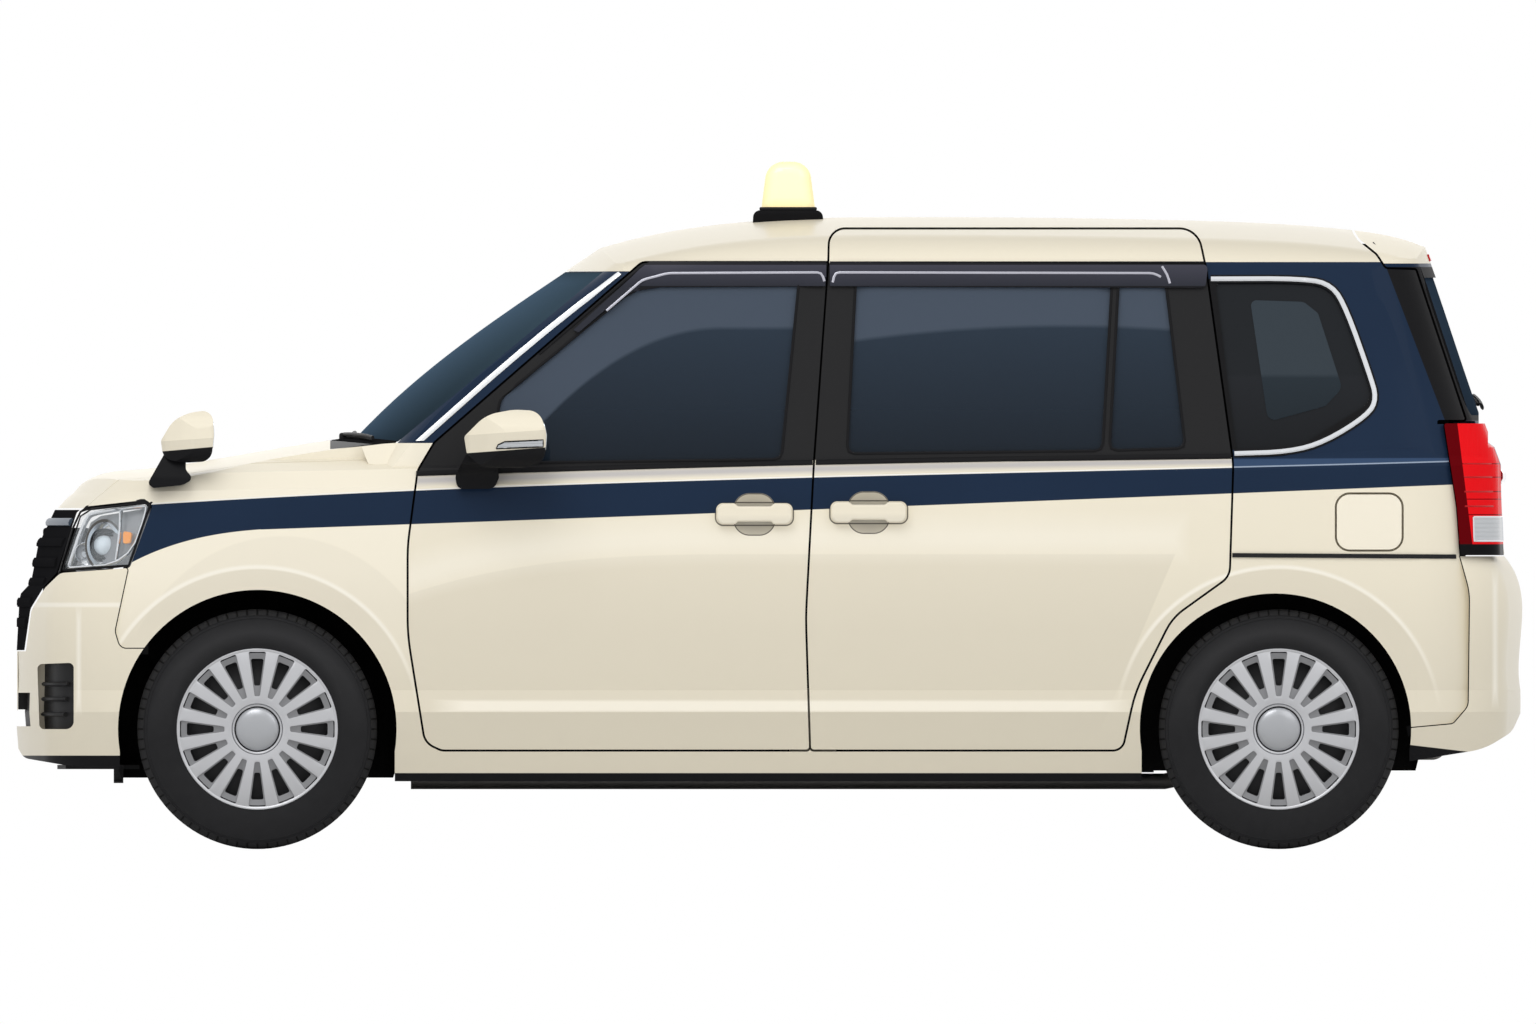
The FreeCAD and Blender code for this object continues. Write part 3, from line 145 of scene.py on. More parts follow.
class Flow:
    """A value on its way between shader nodes; arithmetic on it adds Math nodes."""

    def __init__(self, board: "Board", socket: bpy.types.NodeSocket) -> None:
        """Wraps an output socket of one of the board's nodes."""
        self.board = board
        self.socket = socket

    def maths(self, operation: str, *values: "Flow | float") -> "Flow":
        """Adds a Math node with this value as its first input."""
        inputs = dict(enumerate((self, *values)))
        return self.board.flow("ShaderNodeMath", inputs, operation=operation)

    __add__ = __radd__ = math_node("ADD")
    __sub__ = math_node("SUBTRACT")
    __mul__ = __rmul__ = math_node("MULTIPLY")
    __truediv__ = math_node("DIVIDE")
    __abs__ = math_node("ABSOLUTE")
    __and__ = math_node("MINIMUM")
    __or__ = math_node("MAXIMUM")

    def __rsub__(self, other: float) -> "Flow":
        """A number less this value."""
        return self * -1.0 + other

    def clamped(self) -> "Flow":
        """This value, kept between 0 and 1."""
        self.socket.node.use_clamp = True
        return self

    def above(self, level: "Flow | float", soft: float = 0.001) -> "Flow":
        """A mask that is 1 where this value exceeds a level.

        Args:
            level: the level, a number or a value.
            soft: the width over which the mask fades.

        Returns:
            The mask, from 0 to 1.
        """
        return ((self - level) / soft + 0.5).clamped()

    def below(self, level: "Flow | float", soft: float = 0.001) -> "Flow":
        """A mask that is 1 where this value is under a level; see above."""
        return 1.0 - self.above(level, soft)

    def within(self, low: "Flow | float", high: "Flow | float", soft: float = 0.001) -> "Flow":
        """A mask that is 1 where this value lies between two levels; see above."""
        return self.above(low, soft) & self.below(high, soft)

    def curve(self, *factors: float) -> "Flow":
        """A polynomial of this value.

        Args:
            factors: its factors, from the highest power down.

        Returns:
            The polynomial's value.
        """
        total = self * factors[0] + factors[1]
        for factor in factors[2:]:
            total = total * self + factor
        return total

    def beside(self, other: "Flow") -> "Flow":
        """The length of the hypotenuse over this value and another."""
        return (self * self + other * other).maths("SQRT")

    def graded(self, low: float, high: float) -> "Flow":
        """A number between two others, with this value as the share."""
        return self * (high - low) + low


class Board:
    """One material's node tree, with its Principled shader and the object's own coordinates."""

    def __init__(self, name: str) -> None:
        """Starts a material with one shader.

        Args:
            name: the material's name.
        """
        self.material = bpy.data.materials.new(name)
        self.material.use_nodes = True
        self.tree = self.material.node_tree
        self.tree.nodes.clear()
        self.output = self.tree.nodes.new("ShaderNodeOutputMaterial")
        self.shader = self.tree.nodes.new("ShaderNodeBsdfPrincipled")
        self.tree.links.new(self.shader.outputs[0], self.output.inputs[0])
        self.coordinates = self.tree.nodes.new("ShaderNodeTexCoord")
        self.x, self.y, self.z = self.parts("Object")

    def feed(self, socket: bpy.types.NodeSocket, value: Flow | float | Sequence[float]) -> None:
        """Links a flow to a socket, or sets the socket's own value.

        Args:
            socket: the socket.
            value: the flow, number, vector or colour.
        """
        if isinstance(value, Flow):
            self.tree.links.new(value.socket, socket)
        elif isinstance(value, (int, float)):
            socket.default_value = value
        else:
            socket.default_value = (*value, 1.0)[: len(socket.default_value)]

    def flow(self, kind: str, inputs: dict, output: int | str = 0, **settings: str) -> Flow:
        """Adds a node.

        Args:
            kind: the node's type.
            inputs: values or flows for its sockets, by name or number.
            output: which of its outputs is wanted.
            settings: its settings.

        Returns:
            That output.
        """
        node = self.tree.nodes.new(kind)
        for key, value in settings.items():
            setattr(node, key, value)
        for key, value in inputs.items():
            self.feed(node.inputs[key], value)
        return Flow(self, node.outputs[output])

    def parts(self, kind: str) -> tuple[Flow, ...]:
        """The x, y and z of one of the object's own coordinates: Object or Normal."""
        first = self.flow("ShaderNodeSeparateXYZ", {0: Flow(self, self.coordinates.outputs[kind])})
        return tuple(Flow(self, output) for output in first.socket.node.outputs)

    def noise(self, scale: float, detail: float = 2.0) -> Flow:
        """Adds a noise texture in the cab's own coordinates.

        Args:
            scale: how fine it is.
            detail: how many octaves it has.

        Returns:
            Its value.
        """
        where = Flow(self, self.coordinates.outputs["Object"])
        inputs = {"Vector": where, "Scale": scale, "Detail": detail}
        return self.flow("ShaderNodeTexNoise", inputs, "Fac")

    def cells(self, scale: float) -> Flow:
        """Distance to the nearest of scattered points, for grains."""
        where = Flow(self, self.coordinates.outputs["Object"])
        return self.flow("ShaderNodeTexVoronoi", {"Vector": where, "Scale": scale}, "Distance")

    def mixed(self, mask: Flow | float, low: Flow | Colour, high: Flow | Colour) -> Flow:
        """A colour between two others, by a mask."""
        return self.flow("ShaderNodeMix", {0: mask, 6: low, 7: high}, 2, data_type="RGBA")

    def varied(self, mask: Flow | float, colour: Colour, factor: float) -> Flow:
        """A colour that a mask turns darker or paler by a factor."""
        return self.mixed(mask, colour, toned(colour, factor))

    def bumped(self, height: Flow, depth: float, strength: float) -> None:
        """Raises the surface's normal by a height pattern, in metres of depth."""
        inputs = {"Height": height, "Distance": depth, "Strength": strength}
        self.feed(self.shader.inputs["Normal"], self.flow("ShaderNodeBump", inputs))

    def set(self, **values: Flow | float | Sequence[float]) -> None:
        """Sets the shader's sockets.

        Args:
            **values: a value for each socket; a name's underscores stand for spaces.
        """
        for key, value in values.items():
            name = key.replace("_", " ").title().replace("Ior", "IOR")
            self.feed(self.shader.inputs[name], value)


# ------------------------------------------------------------------ finishes


class Zone(Enum):
    """How a painted panel is divided between its colours."""

    PLAIN = "plain"
    FENDER = "fender"
    DOOR = "door"
    SLIDER = "slider"
    SIDE = "body_side"
    TAILGATE = "tailgate"
    FRONT_BUMPER = "front_bumper"
    REAR_BUMPER = "rear_bumper"
    MIRROR = "mirror"
    WING_MIRROR = "wing_mirror"
    ROOF = "roof"


DOOR_ZONES = (Zone.DOOR, Zone.SLIDER)


@dataclass(frozen=True)
class Finish:
    """A surface finish; equal finishes share one material."""

    name: str
    slot: Slot

    def dress(self, board: Board) -> None:
        """Sets up the shader on a fresh board."""

    def material(self) -> bpy.types.Material:
        """Makes the finish's material at its first use.

        Returns:
            The material.
        """
        made = bpy.data.materials.get(self.name)
        if made is None:
            board = Board(self.name)
            self.dress(board)
            made = board.material
        return made


@dataclass(frozen=True)
class Glint:
    """A soft-edged painted highlight: low, high and softness on each axis."""

    x: Triple
    z: Triple
    colour: Colour = CREAM_LIT
    share: float = 0.7

    def lay(self, board: Board, cream: Flow) -> Flow:
        """Adds it to a panel's cream."""
        mask = board.x.within(*self.x) & board.z.within(*self.z)
        return board.mixed(mask * self.share, cream, self.colour)


@dataclass(frozen=True)
class Livery:
    """Where the cab's bands of colour, and its painted light and shade, run, in metres; each edge
    is a polynomial of x.
    """

    stripe_top: tuple[float, ...] = (-0.0021, -0.0052, -0.0267, 1.0374)
    stripe_foot: tuple[float, ...] = (0.0008, -0.0373, 0.9462)
    stripe_nose: tuple[float, ...] = (-0.5896, 2.2013, -2.7517, 2.0522)
    nose_start: float = 1.42
    belt: tuple[float, ...] = (-0.0056, -0.0233, 1.0862)
    quarter_start: float = -1.15
    front_handle: Pair = (0.038, 0.937)
    slider_handle: Pair = (-0.282, 0.942)
    grip: Pair = (0.108, 0.031)
    grip_corner: float = 0.020
    grip_rise: float = 0.0015
    cup: Pair = (0.0595, 0.0595)
    cup_corner: float = 0.046
    moulding: float = 0.015
    # Painted light and shade: the highlight line's width, the arch lips' shade and lit edge, the
    # shade over the front wheel's bulge, the doors' shade below the shoulder, and the lit ledge.
    line: float = 0.0036
    flare: float = 0.449
    lip: float = 0.010
    hub: Pair = (1.43, 0.336)
    bulge: Pair = (1.36, 0.33)
    bulge_size: Pair = (0.471, 0.546)
    shoulder: float = 0.826
    shoulder_fall: float = 0.11
    flank_lean: float = 0.43
    flank_end: float = -0.785
    ledge: Glint = Glint((-0.98, 0.90, 0.10), (0.386, 0.416, 0.008), (0.97, 0.92, 0.80))

    def stripe(self, board: Board) -> Flow:
        """The navy band from the headlamp to the tail.

        Args:
            board: the shader board.

        Returns:
            The mask.
        """
        nose = board.x.above(self.nose_start)
        foot = board.x.curve(*self.stripe_foot) * (1.0 - nose)
        foot = foot + board.x.curve(*self.stripe_nose) * nose
        return board.z.within(foot, board.x.curve(*self.stripe_top))

    def edged(self, board: Board, zone: Zone, colour: Flow) -> Flow:
        """Adds a painted highlight line along the top of the navy band, painted shade in the groove
        under the windows, and painted light on the band under the quarter window.

        Args:
            board: the shader board.
            zone: the kind of panel.
            colour: the panel's colour so far.

        Returns:
            The colour with them added.
        """
        stripe_top = board.x.curve(*self.stripe_top)
        rise = board.z - stripe_top
        line = rise.within(0.0, self.line)
        if zone is Zone.FENDER:
            return board.mixed(line * 0.7, colour, (0.90, 0.90, 0.88))
        share = rise / (board.x.curve(*self.belt) - stripe_top - self.moulding)
        if zone is Zone.SIDE:
            quarter = board.x.below(self.quarter_start)
            lit = share.within(0.0, 1.0, 0.15) & quarter
            colour = board.mixed(lit * 0.7, colour, (0.045, 0.085, 0.17))
            return board.mixed((line & quarter) * 0.7, colour, (0.42, 0.50, 0.62))
        colour = board.mixed(share.within(0.42, 1.0, 0.4) * 0.62, colour, (0.36, 0.36, 0.42))
        return board.mixed(line * 0.8, colour, (0.92, 0.92, 0.90))

    def flared(self, board: Board, cream: Flow) -> Flow:
        """Paints shade on the lip round the wheel arches and over the front wheel's bulge, and a
        painted highlight along the lip's edge.

        Args:
            board: the shader board.
            cream: the panel's cream so far.

        Returns:
            The cream with them added.
        """
        x, z = board.x, board.z
        reach = (abs(x) - self.hub[0]).beside(z - self.hub[1])
        fade = z.above(0.52, 0.25)
        ahead = (x - self.bulge[0]) / self.bulge_size[0]
        swell = ahead.beside((z - self.bulge[1]) / self.bulge_size[1])
        wing = x.above(0.9) & z.above(0.62, 0.12)
        cream = board.mixed(swell.below(1.0, 0.012) * wing * 0.14, cream, CREAM_SHADED)
        cream = board.mixed(reach.below(self.flare, 0.002) * fade * 0.30, cream, CREAM_SHADED)
        edge = reach.within(self.flare, self.flare + self.lip, 0.008)
        return board.mixed(edge * fade * 0.8, cream, CREAM_LIT)

    def shouldered(self, board: Board, cream: Flow) -> Flow:
        """Paints shade on the doors' flank below a soft shoulder, a painted highlight just above
        the shoulder, and another on the ledge at its foot.

        Args:
            board: the shader board.
            cream: the panel's cream so far.

        Returns:
            The cream with them added.
        """
        x, z = board.x, board.z
        ahead = x.maths("MAXIMUM", 0.0)
        level = self.shoulder - ahead * ahead * ahead * self.shoulder_fall
        flank = z.below(level, 0.004) & (x + z * self.flank_lean).above(self.flank_end, 0.005)
        cream = board.mixed((flank & z.above(0.46, 0.30)) * 0.28, cream, CREAM_SHADED)
        lit = z.within(level, level + 0.09, 0.07) & x.above(-1.16, 0.05)
        return self.ledge.lay(board, board.mixed(lit * 0.5, cream, (0.96, 0.91, 0.79)))

    def outside(self, board: Board, middle: Pair, half: Pair, corner: float) -> Flow:
        """How far a point is outside a rounded rectangle in the side view; below 0 is inside.

        Args:
            board: the shader board.
            middle: the rectangle's centre.
            half: half its length and height.
            corner: its corner radius.

        Returns:
            The distance in metres.
        """
        across = (abs(board.x - middle[0]) - (half[0] - corner)).maths("MAXIMUM", 0.0)
        up = (abs(board.z - middle[1]) - (half[1] - corner)).maths("MAXIMUM", 0.0)
        return across.beside(up) - corner

    def handled(self, board: Board, zone: Zone) -> tuple[Flow, Flow, float]:
        """How far a point is outside a door's handle cup and its grip.

        Args:
            board: the shader board.
            zone: the kind of door.

        Returns:
            Both distances, and the handle's height.
        """
        x, z = self.front_handle if zone is Zone.DOOR else self.slider_handle
        cup = self.outside(board, (x, z), self.cup, self.cup_corner)
        return cup, self.outside(board, (x, z + self.grip_rise), self.grip, self.grip_corner), z


@dataclass(frozen=True)
class Paint(Finish):
    """The cab's gloss paint, with the navy band and black parts of one kind of panel."""

    zone: Zone = Zone.PLAIN
    livery: Livery = Livery()
    index: float = 1.15
    rough: Pair = (0.30, 0.44)
    coat: float = 0.05
    # The black lip beside the screen's foot: where it runs, how it rises and its level.
    lip_ends: Pair = (1.035, 1.226)
    lip_rise: Pair = (0.075, 0.18)
    lip_level: float = 1.120
    # The black round the glass: door heads, rear pillar, jambs and the quarter window's rim.
    door_head: float = 1.641
    pillar: Triple = (0.3836, -2.3558, 1.196)
    front_jamb: Triple = (-0.25, 0.0, 0.45)
    rear_jamb: tuple[Pair, Pair] = ((-1.32, -1.15), (1.118, 1.597))
    rim: tuple[float, ...] = (-1.56, 0.60, 1.150, 1.128)
    rim_room: tuple[Pair, float] = ((-1.688, -1.40), 1.35)
    # The tailgate's navy, its black and the slope and place of the black's edge.
    gate_navy: Pair = (1.022, 1.64)
    gate_black: Pair = (1.20, 1.63)
    gate_edge: Pair = (0.3333, -2.44)

    # Painted highlights: a streak along the roof and lit creases on the bumpers.
    GLINTS = {
        Zone.ROOF: (Glint((-1.62, 0.16, 0.25), (1.697, 1.716, 0.012), (0.98, 0.95, 0.88)),),
        Zone.FRONT_BUMPER: (
            Glint((1.925, 1.935, 0.010), (0.40, 0.66, 0.06)),
            Glint((1.0, 2.05, 0.03), (0.678, 0.690, 0.006)),
        ),
        Zone.REAR_BUMPER: (Glint((-2.042, -2.030, 0.010), (0.42, 0.76, 0.06)),),
    }
    # Slope along x, and height, of the edge below which a panel is black, or a mirror cap has
    # painted shade.
    BLACK_FEET = {
        Zone.FENDER: (0.0, 0.213),
        Zone.SIDE: (0.0, 0.213),
        Zone.REAR_BUMPER: (-0.118, 0.504),
        Zone.FRONT_BUMPER: (0.0, 0.262),
        Zone.MIRROR: (0.0724, 1.1698),
        Zone.WING_MIRROR: (0.089, 1.2647),
    }
    CAP_SHADES = {Zone.MIRROR: (0.0687, 1.2169), Zone.WING_MIRROR: (0.0687, 1.2585)}

    def navy(self, board: Board) -> Flow | float:
        """Where this panel is navy.

        Args:
            board: the shader board.

        Returns:
            The mask.
        """
        x, z, livery = board.x, board.z, self.livery
        if self.zone is Zone.FENDER:
            return livery.stripe(board)
        if self.zone in DOOR_ZONES:
            cup, grip, _ = livery.handled(board, self.zone)
            return livery.stripe(board) & (1.0 - (cup.below(0.0) | grip.below(0.0)))
        if self.zone is Zone.SIDE:
            quarter = x.below(livery.quarter_start) & z.above(x.curve(*livery.stripe_foot))
            return quarter | (z.above(1.125) & x.above(0.2))
        if self.zone is Zone.TAILGATE:
            return z.within(*self.gate_navy)
        return 0.0

    def black(self, board: Board) -> Flow | float:
        """Where this panel is satin black.

        Args:
            board: the shader board.

        Returns:
            The mask.
        """
        x, z = board.x, board.z
        mask = 0.0
        if self.zone in self.BLACK_FEET:
            slope, level = self.BLACK_FEET[self.zone]
            mask = (z + x * slope).below(level)
        if self.zone in (Zone.FENDER, Zone.SIDE, Zone.PLAIN):
            back = self.lip_ends[1] - x
            slope, bend = self.lip_rise
            lip = (z - back * slope - back * back * bend).above(self.lip_level)
            mask = (lip & x.within(*self.lip_ends)) | mask
        if self.zone in DOOR_ZONES:
            mask = z.above(x.curve(*self.livery.belt))
        if self.zone is Zone.SLIDER:
            mask = mask & z.below(self.door_head)
        if self.zone is Zone.SIDE:
            lean, edge, foot = self.pillar
            pillar = (x - z * lean).below(edge) & z.above(foot)
            rear, front, foot = self.front_jamb
            jamb = x.within(rear, front) & z.above(foot)
            across, tall = self.rear_jamb
            jamb = jamb | (x.within(*across) & z.within(*tall))
            start, slope, level, foot = self.rim
            rim = ((start - x) * slope + level).maths("MAXIMUM", foot)
            across, head = self.rim_room
            mask = mask | pillar | jamb | (z.above(rim) & z.below(head) & x.within(*across))
        if self.zone is Zone.TAILGATE:
            slope, edge = self.gate_edge
            mask = z.within(*self.gate_black) & (x - z * slope).above(edge)
        return mask

    def shade(self, board: Board) -> Flow | float:
        """Where shade is painted on this panel's cream: in the handle cups, as thin painted shadows
        round the cups and grips, under the grips, and under the mirror caps.

        Args:
            board: the shader board.

        Returns:
            The mask.
        """
        if self.zone in DOOR_ZONES:
            cup, grip, level = self.livery.handled(board, self.zone)
            skin = abs(board.y).below(0.848)
            lines = cup.within(-0.0032, 0.0) | grip.within(-0.001, 0.0028)
            under = grip.below(0.0) & board.z.below(level - 0.008, 0.016)
            return ((cup.below(0.0) * 0.26 | lines * 0.92) & skin) | under * 0.12
        if self.zone in self.CAP_SHADES:
            slope, level = self.CAP_SHADES[self.zone]
            return (board.z + board.x * slope).below(level) * 0.16
        return 0.0

    def cream(self, board: Board, drift: Flow) -> Flow:
        """Mixes the panel's cream, with its painted light and shade.

        Args:
            board: the shader board.
            drift: its slow unevenness.

        Returns:
            The cream.
        """
        zone, z = self.zone, board.z
        cream = board.mixed(drift, toned(CREAM, 0.985), toned(CREAM, 1.015))
        # Painted shade: the cream grows darker towards the bottom.
        cream = board.mixed(z.below(0.60, 0.45), cream, toned(CREAM, 0.86))
        # Painted light: fenders and hood are paler towards their tops.
        if zone in (Zone.FENDER, Zone.PLAIN):
            cream = board.mixed(z.above(0.62, 0.3) * 0.6, cream, CREAM_TOP_LIT)
        if zone in DOOR_ZONES:
            cream = self.livery.shouldered(board, cream)
        if zone in (Zone.FENDER, Zone.SLIDER, Zone.SIDE):
            cream = self.livery.flared(board, cream)
        for glint in self.GLINTS.get(zone, ()):
            cream = glint.lay(board, cream)
        # Painted shade on faces that look upward, deeper on the roof and sliding doors.
        level = 0.80 if zone in (Zone.ROOF, Zone.SLIDER) else 0.93
        cream = board.mixed(board.parts("Normal")[2].above(0.62, 0.5), cream, toned(CREAM, level))
        return board.mixed(self.shade(board), cream, CREAM_IN_SHADOW)

    def dress(self, board: Board) -> None:
        """Lays cream, navy and black, with a soft gloss coat.

        Args:
            board: the shader board.
        """
        drift = board.noise(2.2, 3.0)
        navy = board.mixed(drift, toned(NAVY, 0.9), toned(NAVY, 1.15))
        colour = board.mixed(self.navy(board), self.cream(board, drift), navy)
        if self.zone in (*DOOR_ZONES, Zone.SIDE, Zone.FENDER):
            colour = self.livery.edged(board, self.zone, colour)
        black = self.black(board)
        colour = board.mixed(black, colour, FRAME_BLACK if self.zone in DOOR_ZONES else BLACK)
        if self.zone in (*DOOR_ZONES, Zone.SIDE):
            inside = (board.parts("Normal")[1] * board.y.maths("SIGN")).below(-0.3, 0.2)
            black = black | inside
            colour = board.mixed(inside, colour, LINING_BLACK)
        rough, coat = self.rough[0], self.coat
        if isinstance(black, Flow):
            rough, coat = black.graded(*self.rough), black.graded(self.coat, 0.0)
        board.set(
            base_color=colour,
            roughness=drift * 0.03 + rough,
            coat_weight=coat,
            coat_roughness=0.06,
            ior=self.index,
        )
        board.bumped(board.noise(620.0, 1.0), 0.00004, 0.35)


@dataclass(frozen=True)
class Plastic(Finish):
    """Moulded plastic with a fine grain."""

    colour: Colour = BLACK
    rough: float = 0.5
    grain: float = 900.0
    relief: float = 0.00012
    gloss: float = 0.5

    def dress(self, board: Board) -> None:
        """Adds the mould's grain and a slight unevenness.

        Args:
            board: the shader board.
        """
        drift = board.noise(14.0, 3.0)
        board.set(
            base_color=board.varied(drift, self.colour, 1.25),
            roughness=drift.graded(self.rough - 0.05, self.rough + 0.06),
            ior=1.16,
            specular_ior_level=self.gloss,
        )
        board.bumped(board.cells(self.grain), self.relief, 0.5)


@dataclass(frozen=True)
class Smoked(Finish):
    """Smoked plastic, with painted light making it paler towards its head, and dark edges."""

    foot: float = 1.574
    tall: float = 0.067
    low: Colour = (0.028, 0.030, 0.040)
    high: Colour = (0.056, 0.056, 0.076)

    def dress(self, board: Board) -> None:
        """Grades it with height, paler towards its head as painted light.

        Args:
            board: the shader board.
        """
        z = board.z
        colour = board.mixed(((z - self.foot) / self.tall).clamped(), self.low, self.high)
        edge = z.above(self.foot + self.tall - 0.005) | z.below(self.foot + 0.003)
        edge = edge & board.x.below(0.36)
        ripple = board.noise(200.0)
        board.set(
            base_color=board.mixed(edge * 0.85, colour, BLACK),
            roughness=ripple.graded(0.14, 0.20),
            ior=1.16,
        )
        board.bumped(ripple, 0.00001, 0.3)


@dataclass(frozen=True)
class Metal(Finish):
    """Bare, plated or painted metal; sunk is how far out, as a y, its hollows are darkened with
    painted shade.
    """

    colour: Colour = (0.6, 0.62, 0.65)
    rough: float = 0.2
    metallic: float = 1.0
    coat: float = 0.0
    wear: float = 0.05
    sunk: float = 0.0

    def dress(self, board: Board) -> None:
        """Adds fine brushing and a little dulling.

        Args:
            board: the shader board.
        """
        grain = board.noise(420.0)
        colour = board.varied(board.noise(9.0, 4.0), self.colour, 1.0 - self.wear)
        # Painted shade in the hollows that lie deeper than sunk.
        if self.sunk > 0.0:
            hollow = abs(board.y).below(self.sunk) * 0.8
            colour = board.mixed(hollow, colour, toned(self.colour, 0.30))
        board.set(
            base_color=colour,
            roughness=grain.graded(self.rough, self.rough + self.wear),
            metallic=self.metallic,
            coat_weight=self.coat,
        )
        board.bumped(grain, 0.00002, 0.3)


@dataclass(frozen=True)
class Plate(Finish):
    """A blank pale plate whose edges are painted like the body."""

    def dress(self, board: Board) -> None:
        """Colours the faces and the edges.

        Args:
            board: the shader board.
        """
        edge = abs(board.parts("Normal")[1]).above(0.5)
        board.set(
            base_color=board.mixed(edge, (0.76, 0.77, 0.77), CREAM),
            roughness=board.noise(20.0).graded(0.34, 0.42),
            ior=1.2,
        )


@dataclass(frozen=True)
class Glazing(Finish):
    """Tinted window glass that lets a little of the cabin show, with a painted reflection of the
    sky above a soft horizon.
    """

    tint: Colour = (0.010, 0.016, 0.025)
    alpha: float = 0.94
    sky: Colour = (0.062, 0.082, 0.115)
    middle: float = 0.0
    index: float = 1.22
    gloss: float = 0.5

    def horizon(self, x: Flow) -> Flow:
        """The height above which a side window shows the painted sky reflection: an arc over each
        door, then level.

        Args:
            x: how far forward.

        Returns:
            The height.
        """
        ahead = (x - 0.13).maths("MAXIMUM", 0.0)
        behind = x + 0.83
        door = x.above(-0.129)
        quarter = x.below(-1.2)
        rear = (1.465 - behind * behind * 0.12) * (1.0 - door) * (1.0 - quarter)
        return (1.459 - ahead * ahead * 1.05) * door + rear + quarter * 1.325

    def dress(self, board: Board) -> None:
        """Tints the pane, paler towards its head, and paints a reflection of the sky above the
        horizon, or towards the middle of a screen.

        Args:
            board: the shader board.
        """
        z = board.z
        head = z.above(self.horizon(board.x), 0.012)
        if self.middle > 0.0:
            head = (1.0 - abs(board.y) / self.middle).clamped() * z.below(1.60, 0.03)
        colour = board.varied(((z - 1.1) / 0.4).clamped(), self.tint, 2.4)
        board.set(
            base_color=board.mixed(head, colour, self.sky),
            roughness=0.03,
            alpha=self.alpha,
            ior=self.index,
            specular_ior_level=self.gloss,
        )


@dataclass(frozen=True)
class Lens(Finish):
    """Clear or coloured lamp plastic; rib is the spacing of the ripples moulded in it."""

    colour: Colour = (0.9, 0.92, 0.94)
    alpha: float = 0.22
    rough: float = 0.04
    glow: float = 0.0
    rib: float = 0.0

    def dress(self, board: Board) -> None:
        """Sets the plastic, with fine optics as a ripple on its surface.

        Args:
            board: the shader board.
        """
        board.set(
            base_color=self.colour,
            roughness=self.rough,
            alpha=self.alpha,
            ior=1.2,
            coat_weight=0.1,
            emission_color=self.colour,
            emission_strength=self.glow,
        )
        if self.rib > 0.0:
            board.bumped((board.z * (2.0 * math.pi / self.rib)).maths("SINE"), self.rib * 0.1, 0.6)


@dataclass(frozen=True)
class TailLens(Finish):
    """The tail lamps' red plastic: a deeper front band, moulded lines and a black foot."""

    colour: Colour = (0.80, 0.010, 0.014)
    deep: Colour = (0.12, 0.002, 0.004)
    foot: float = 0.854
    lines: tuple[float, ...] = (1.079, 1.0416, 1.001, 0.980, 0.9365)
    half_line: float = 0.0012
    band: Pair = (0.1245, -2.0775)

    def dress(self, board: Board) -> None:
        """Lays the bands and lines by height.

        Args:
            board: the shader board.
        """
        slope, limit = self.band
        lean = board.x - board.z * slope
        front = lean.above(limit)
        marks = abs(lean - limit).below(self.half_line)
        for level in self.lines:
            marks = marks | (abs(board.z - level).below(self.half_line) & (1.0 - front))
        foot = board.z.below(self.foot)
        colour = board.mixed(foot, board.mixed(front | marks, self.colour, self.deep), BLACK)
        board.set(
            base_color=colour,
            roughness=0.12,
            ior=1.08,
            specular_ior_level=0.1,
            emission_color=colour,
            emission_strength=0.10,
        )
        ribs = (board.x * 900.0).maths("SINE") * 0.5 + 0.5
        board.bumped(ribs * (1.0 - front) * (1.0 - foot) - marks, 0.0006, 0.4)


@dataclass(frozen=True)
class Dome(Finish):
    """The roof lamp's warm, lit cover: pale in the middle, deeper yellow at its edges."""

    core: Colour = (1.0, 0.90, 0.56)
    rim: Colour = (0.92, 0.62, 0.13)
    glow: float = 0.30

    def dress(self, board: Board) -> None:
        """Grades the glow with height and towards the outline.

        Args:
            board: the shader board.
        """
        outline = board.flow("ShaderNodeLayerWeight", {"Blend": 0.35}, "Facing")
        colour = board.mixed(outline | board.z.below(1.80, 0.05) * 0.6, self.core, self.rim)
        board.set(
            base_color=colour,
            emission_color=colour,
            emission_strength=self.glow,
            roughness=0.22,
            coat_weight=0.5,
        )


@dataclass(frozen=True)
class Rubber(Finish):
    """Tyre rubber, with cut tread across the shoulder and fine rings on the wall."""

    colour: Colour = (0.0135, 0.0135, 0.0145)
    hub: Pair = (1.43, 0.336)
    tread: float = 0.319
    blocks: int = 72

    def dress(self, board: Board) -> None:
        """Cuts the blocks of the tread by angle and radius.

        Args:
            board: the shader board.
        """
        across = abs(board.x) - self.hub[0]
        up = board.z - self.hub[1]
        reach = across.beside(up)
        turn = up.maths("ARCTAN2", across) * (self.blocks / (2.0 * math.pi))
        shoulder = reach.above(self.tread, 0.002)
        groove = (turn.maths("PINGPONG", 0.5) * 2.0).below(0.16, 0.08) & shoulder
        # Painted highlight on the upper wall; painted shade darkens the tread's grooves.
        shine = reach.within(0.252, 0.292, 0.035) & up.above(0.10, 0.25)
        dust = board.noise(26.0, 4.0)
        colour = board.varied(dust * 0.6, self.colour, 1.9)
        colour = board.mixed(shine * 0.5, colour, (0.045, 0.045, 0.047))
        colour = board.mixed(shoulder * 0.5, colour, (0.030, 0.030, 0.031))
        board.set(
            base_color=board.mixed(groove, colour, (0.006, 0.006, 0.006)),
            roughness=dust.graded(0.62, 0.78),
            ior=1.2,
        )
        board.bumped((1.0 - groove) * 8.0 + board.noise(900.0) * 0.25, 0.0004, 0.8)


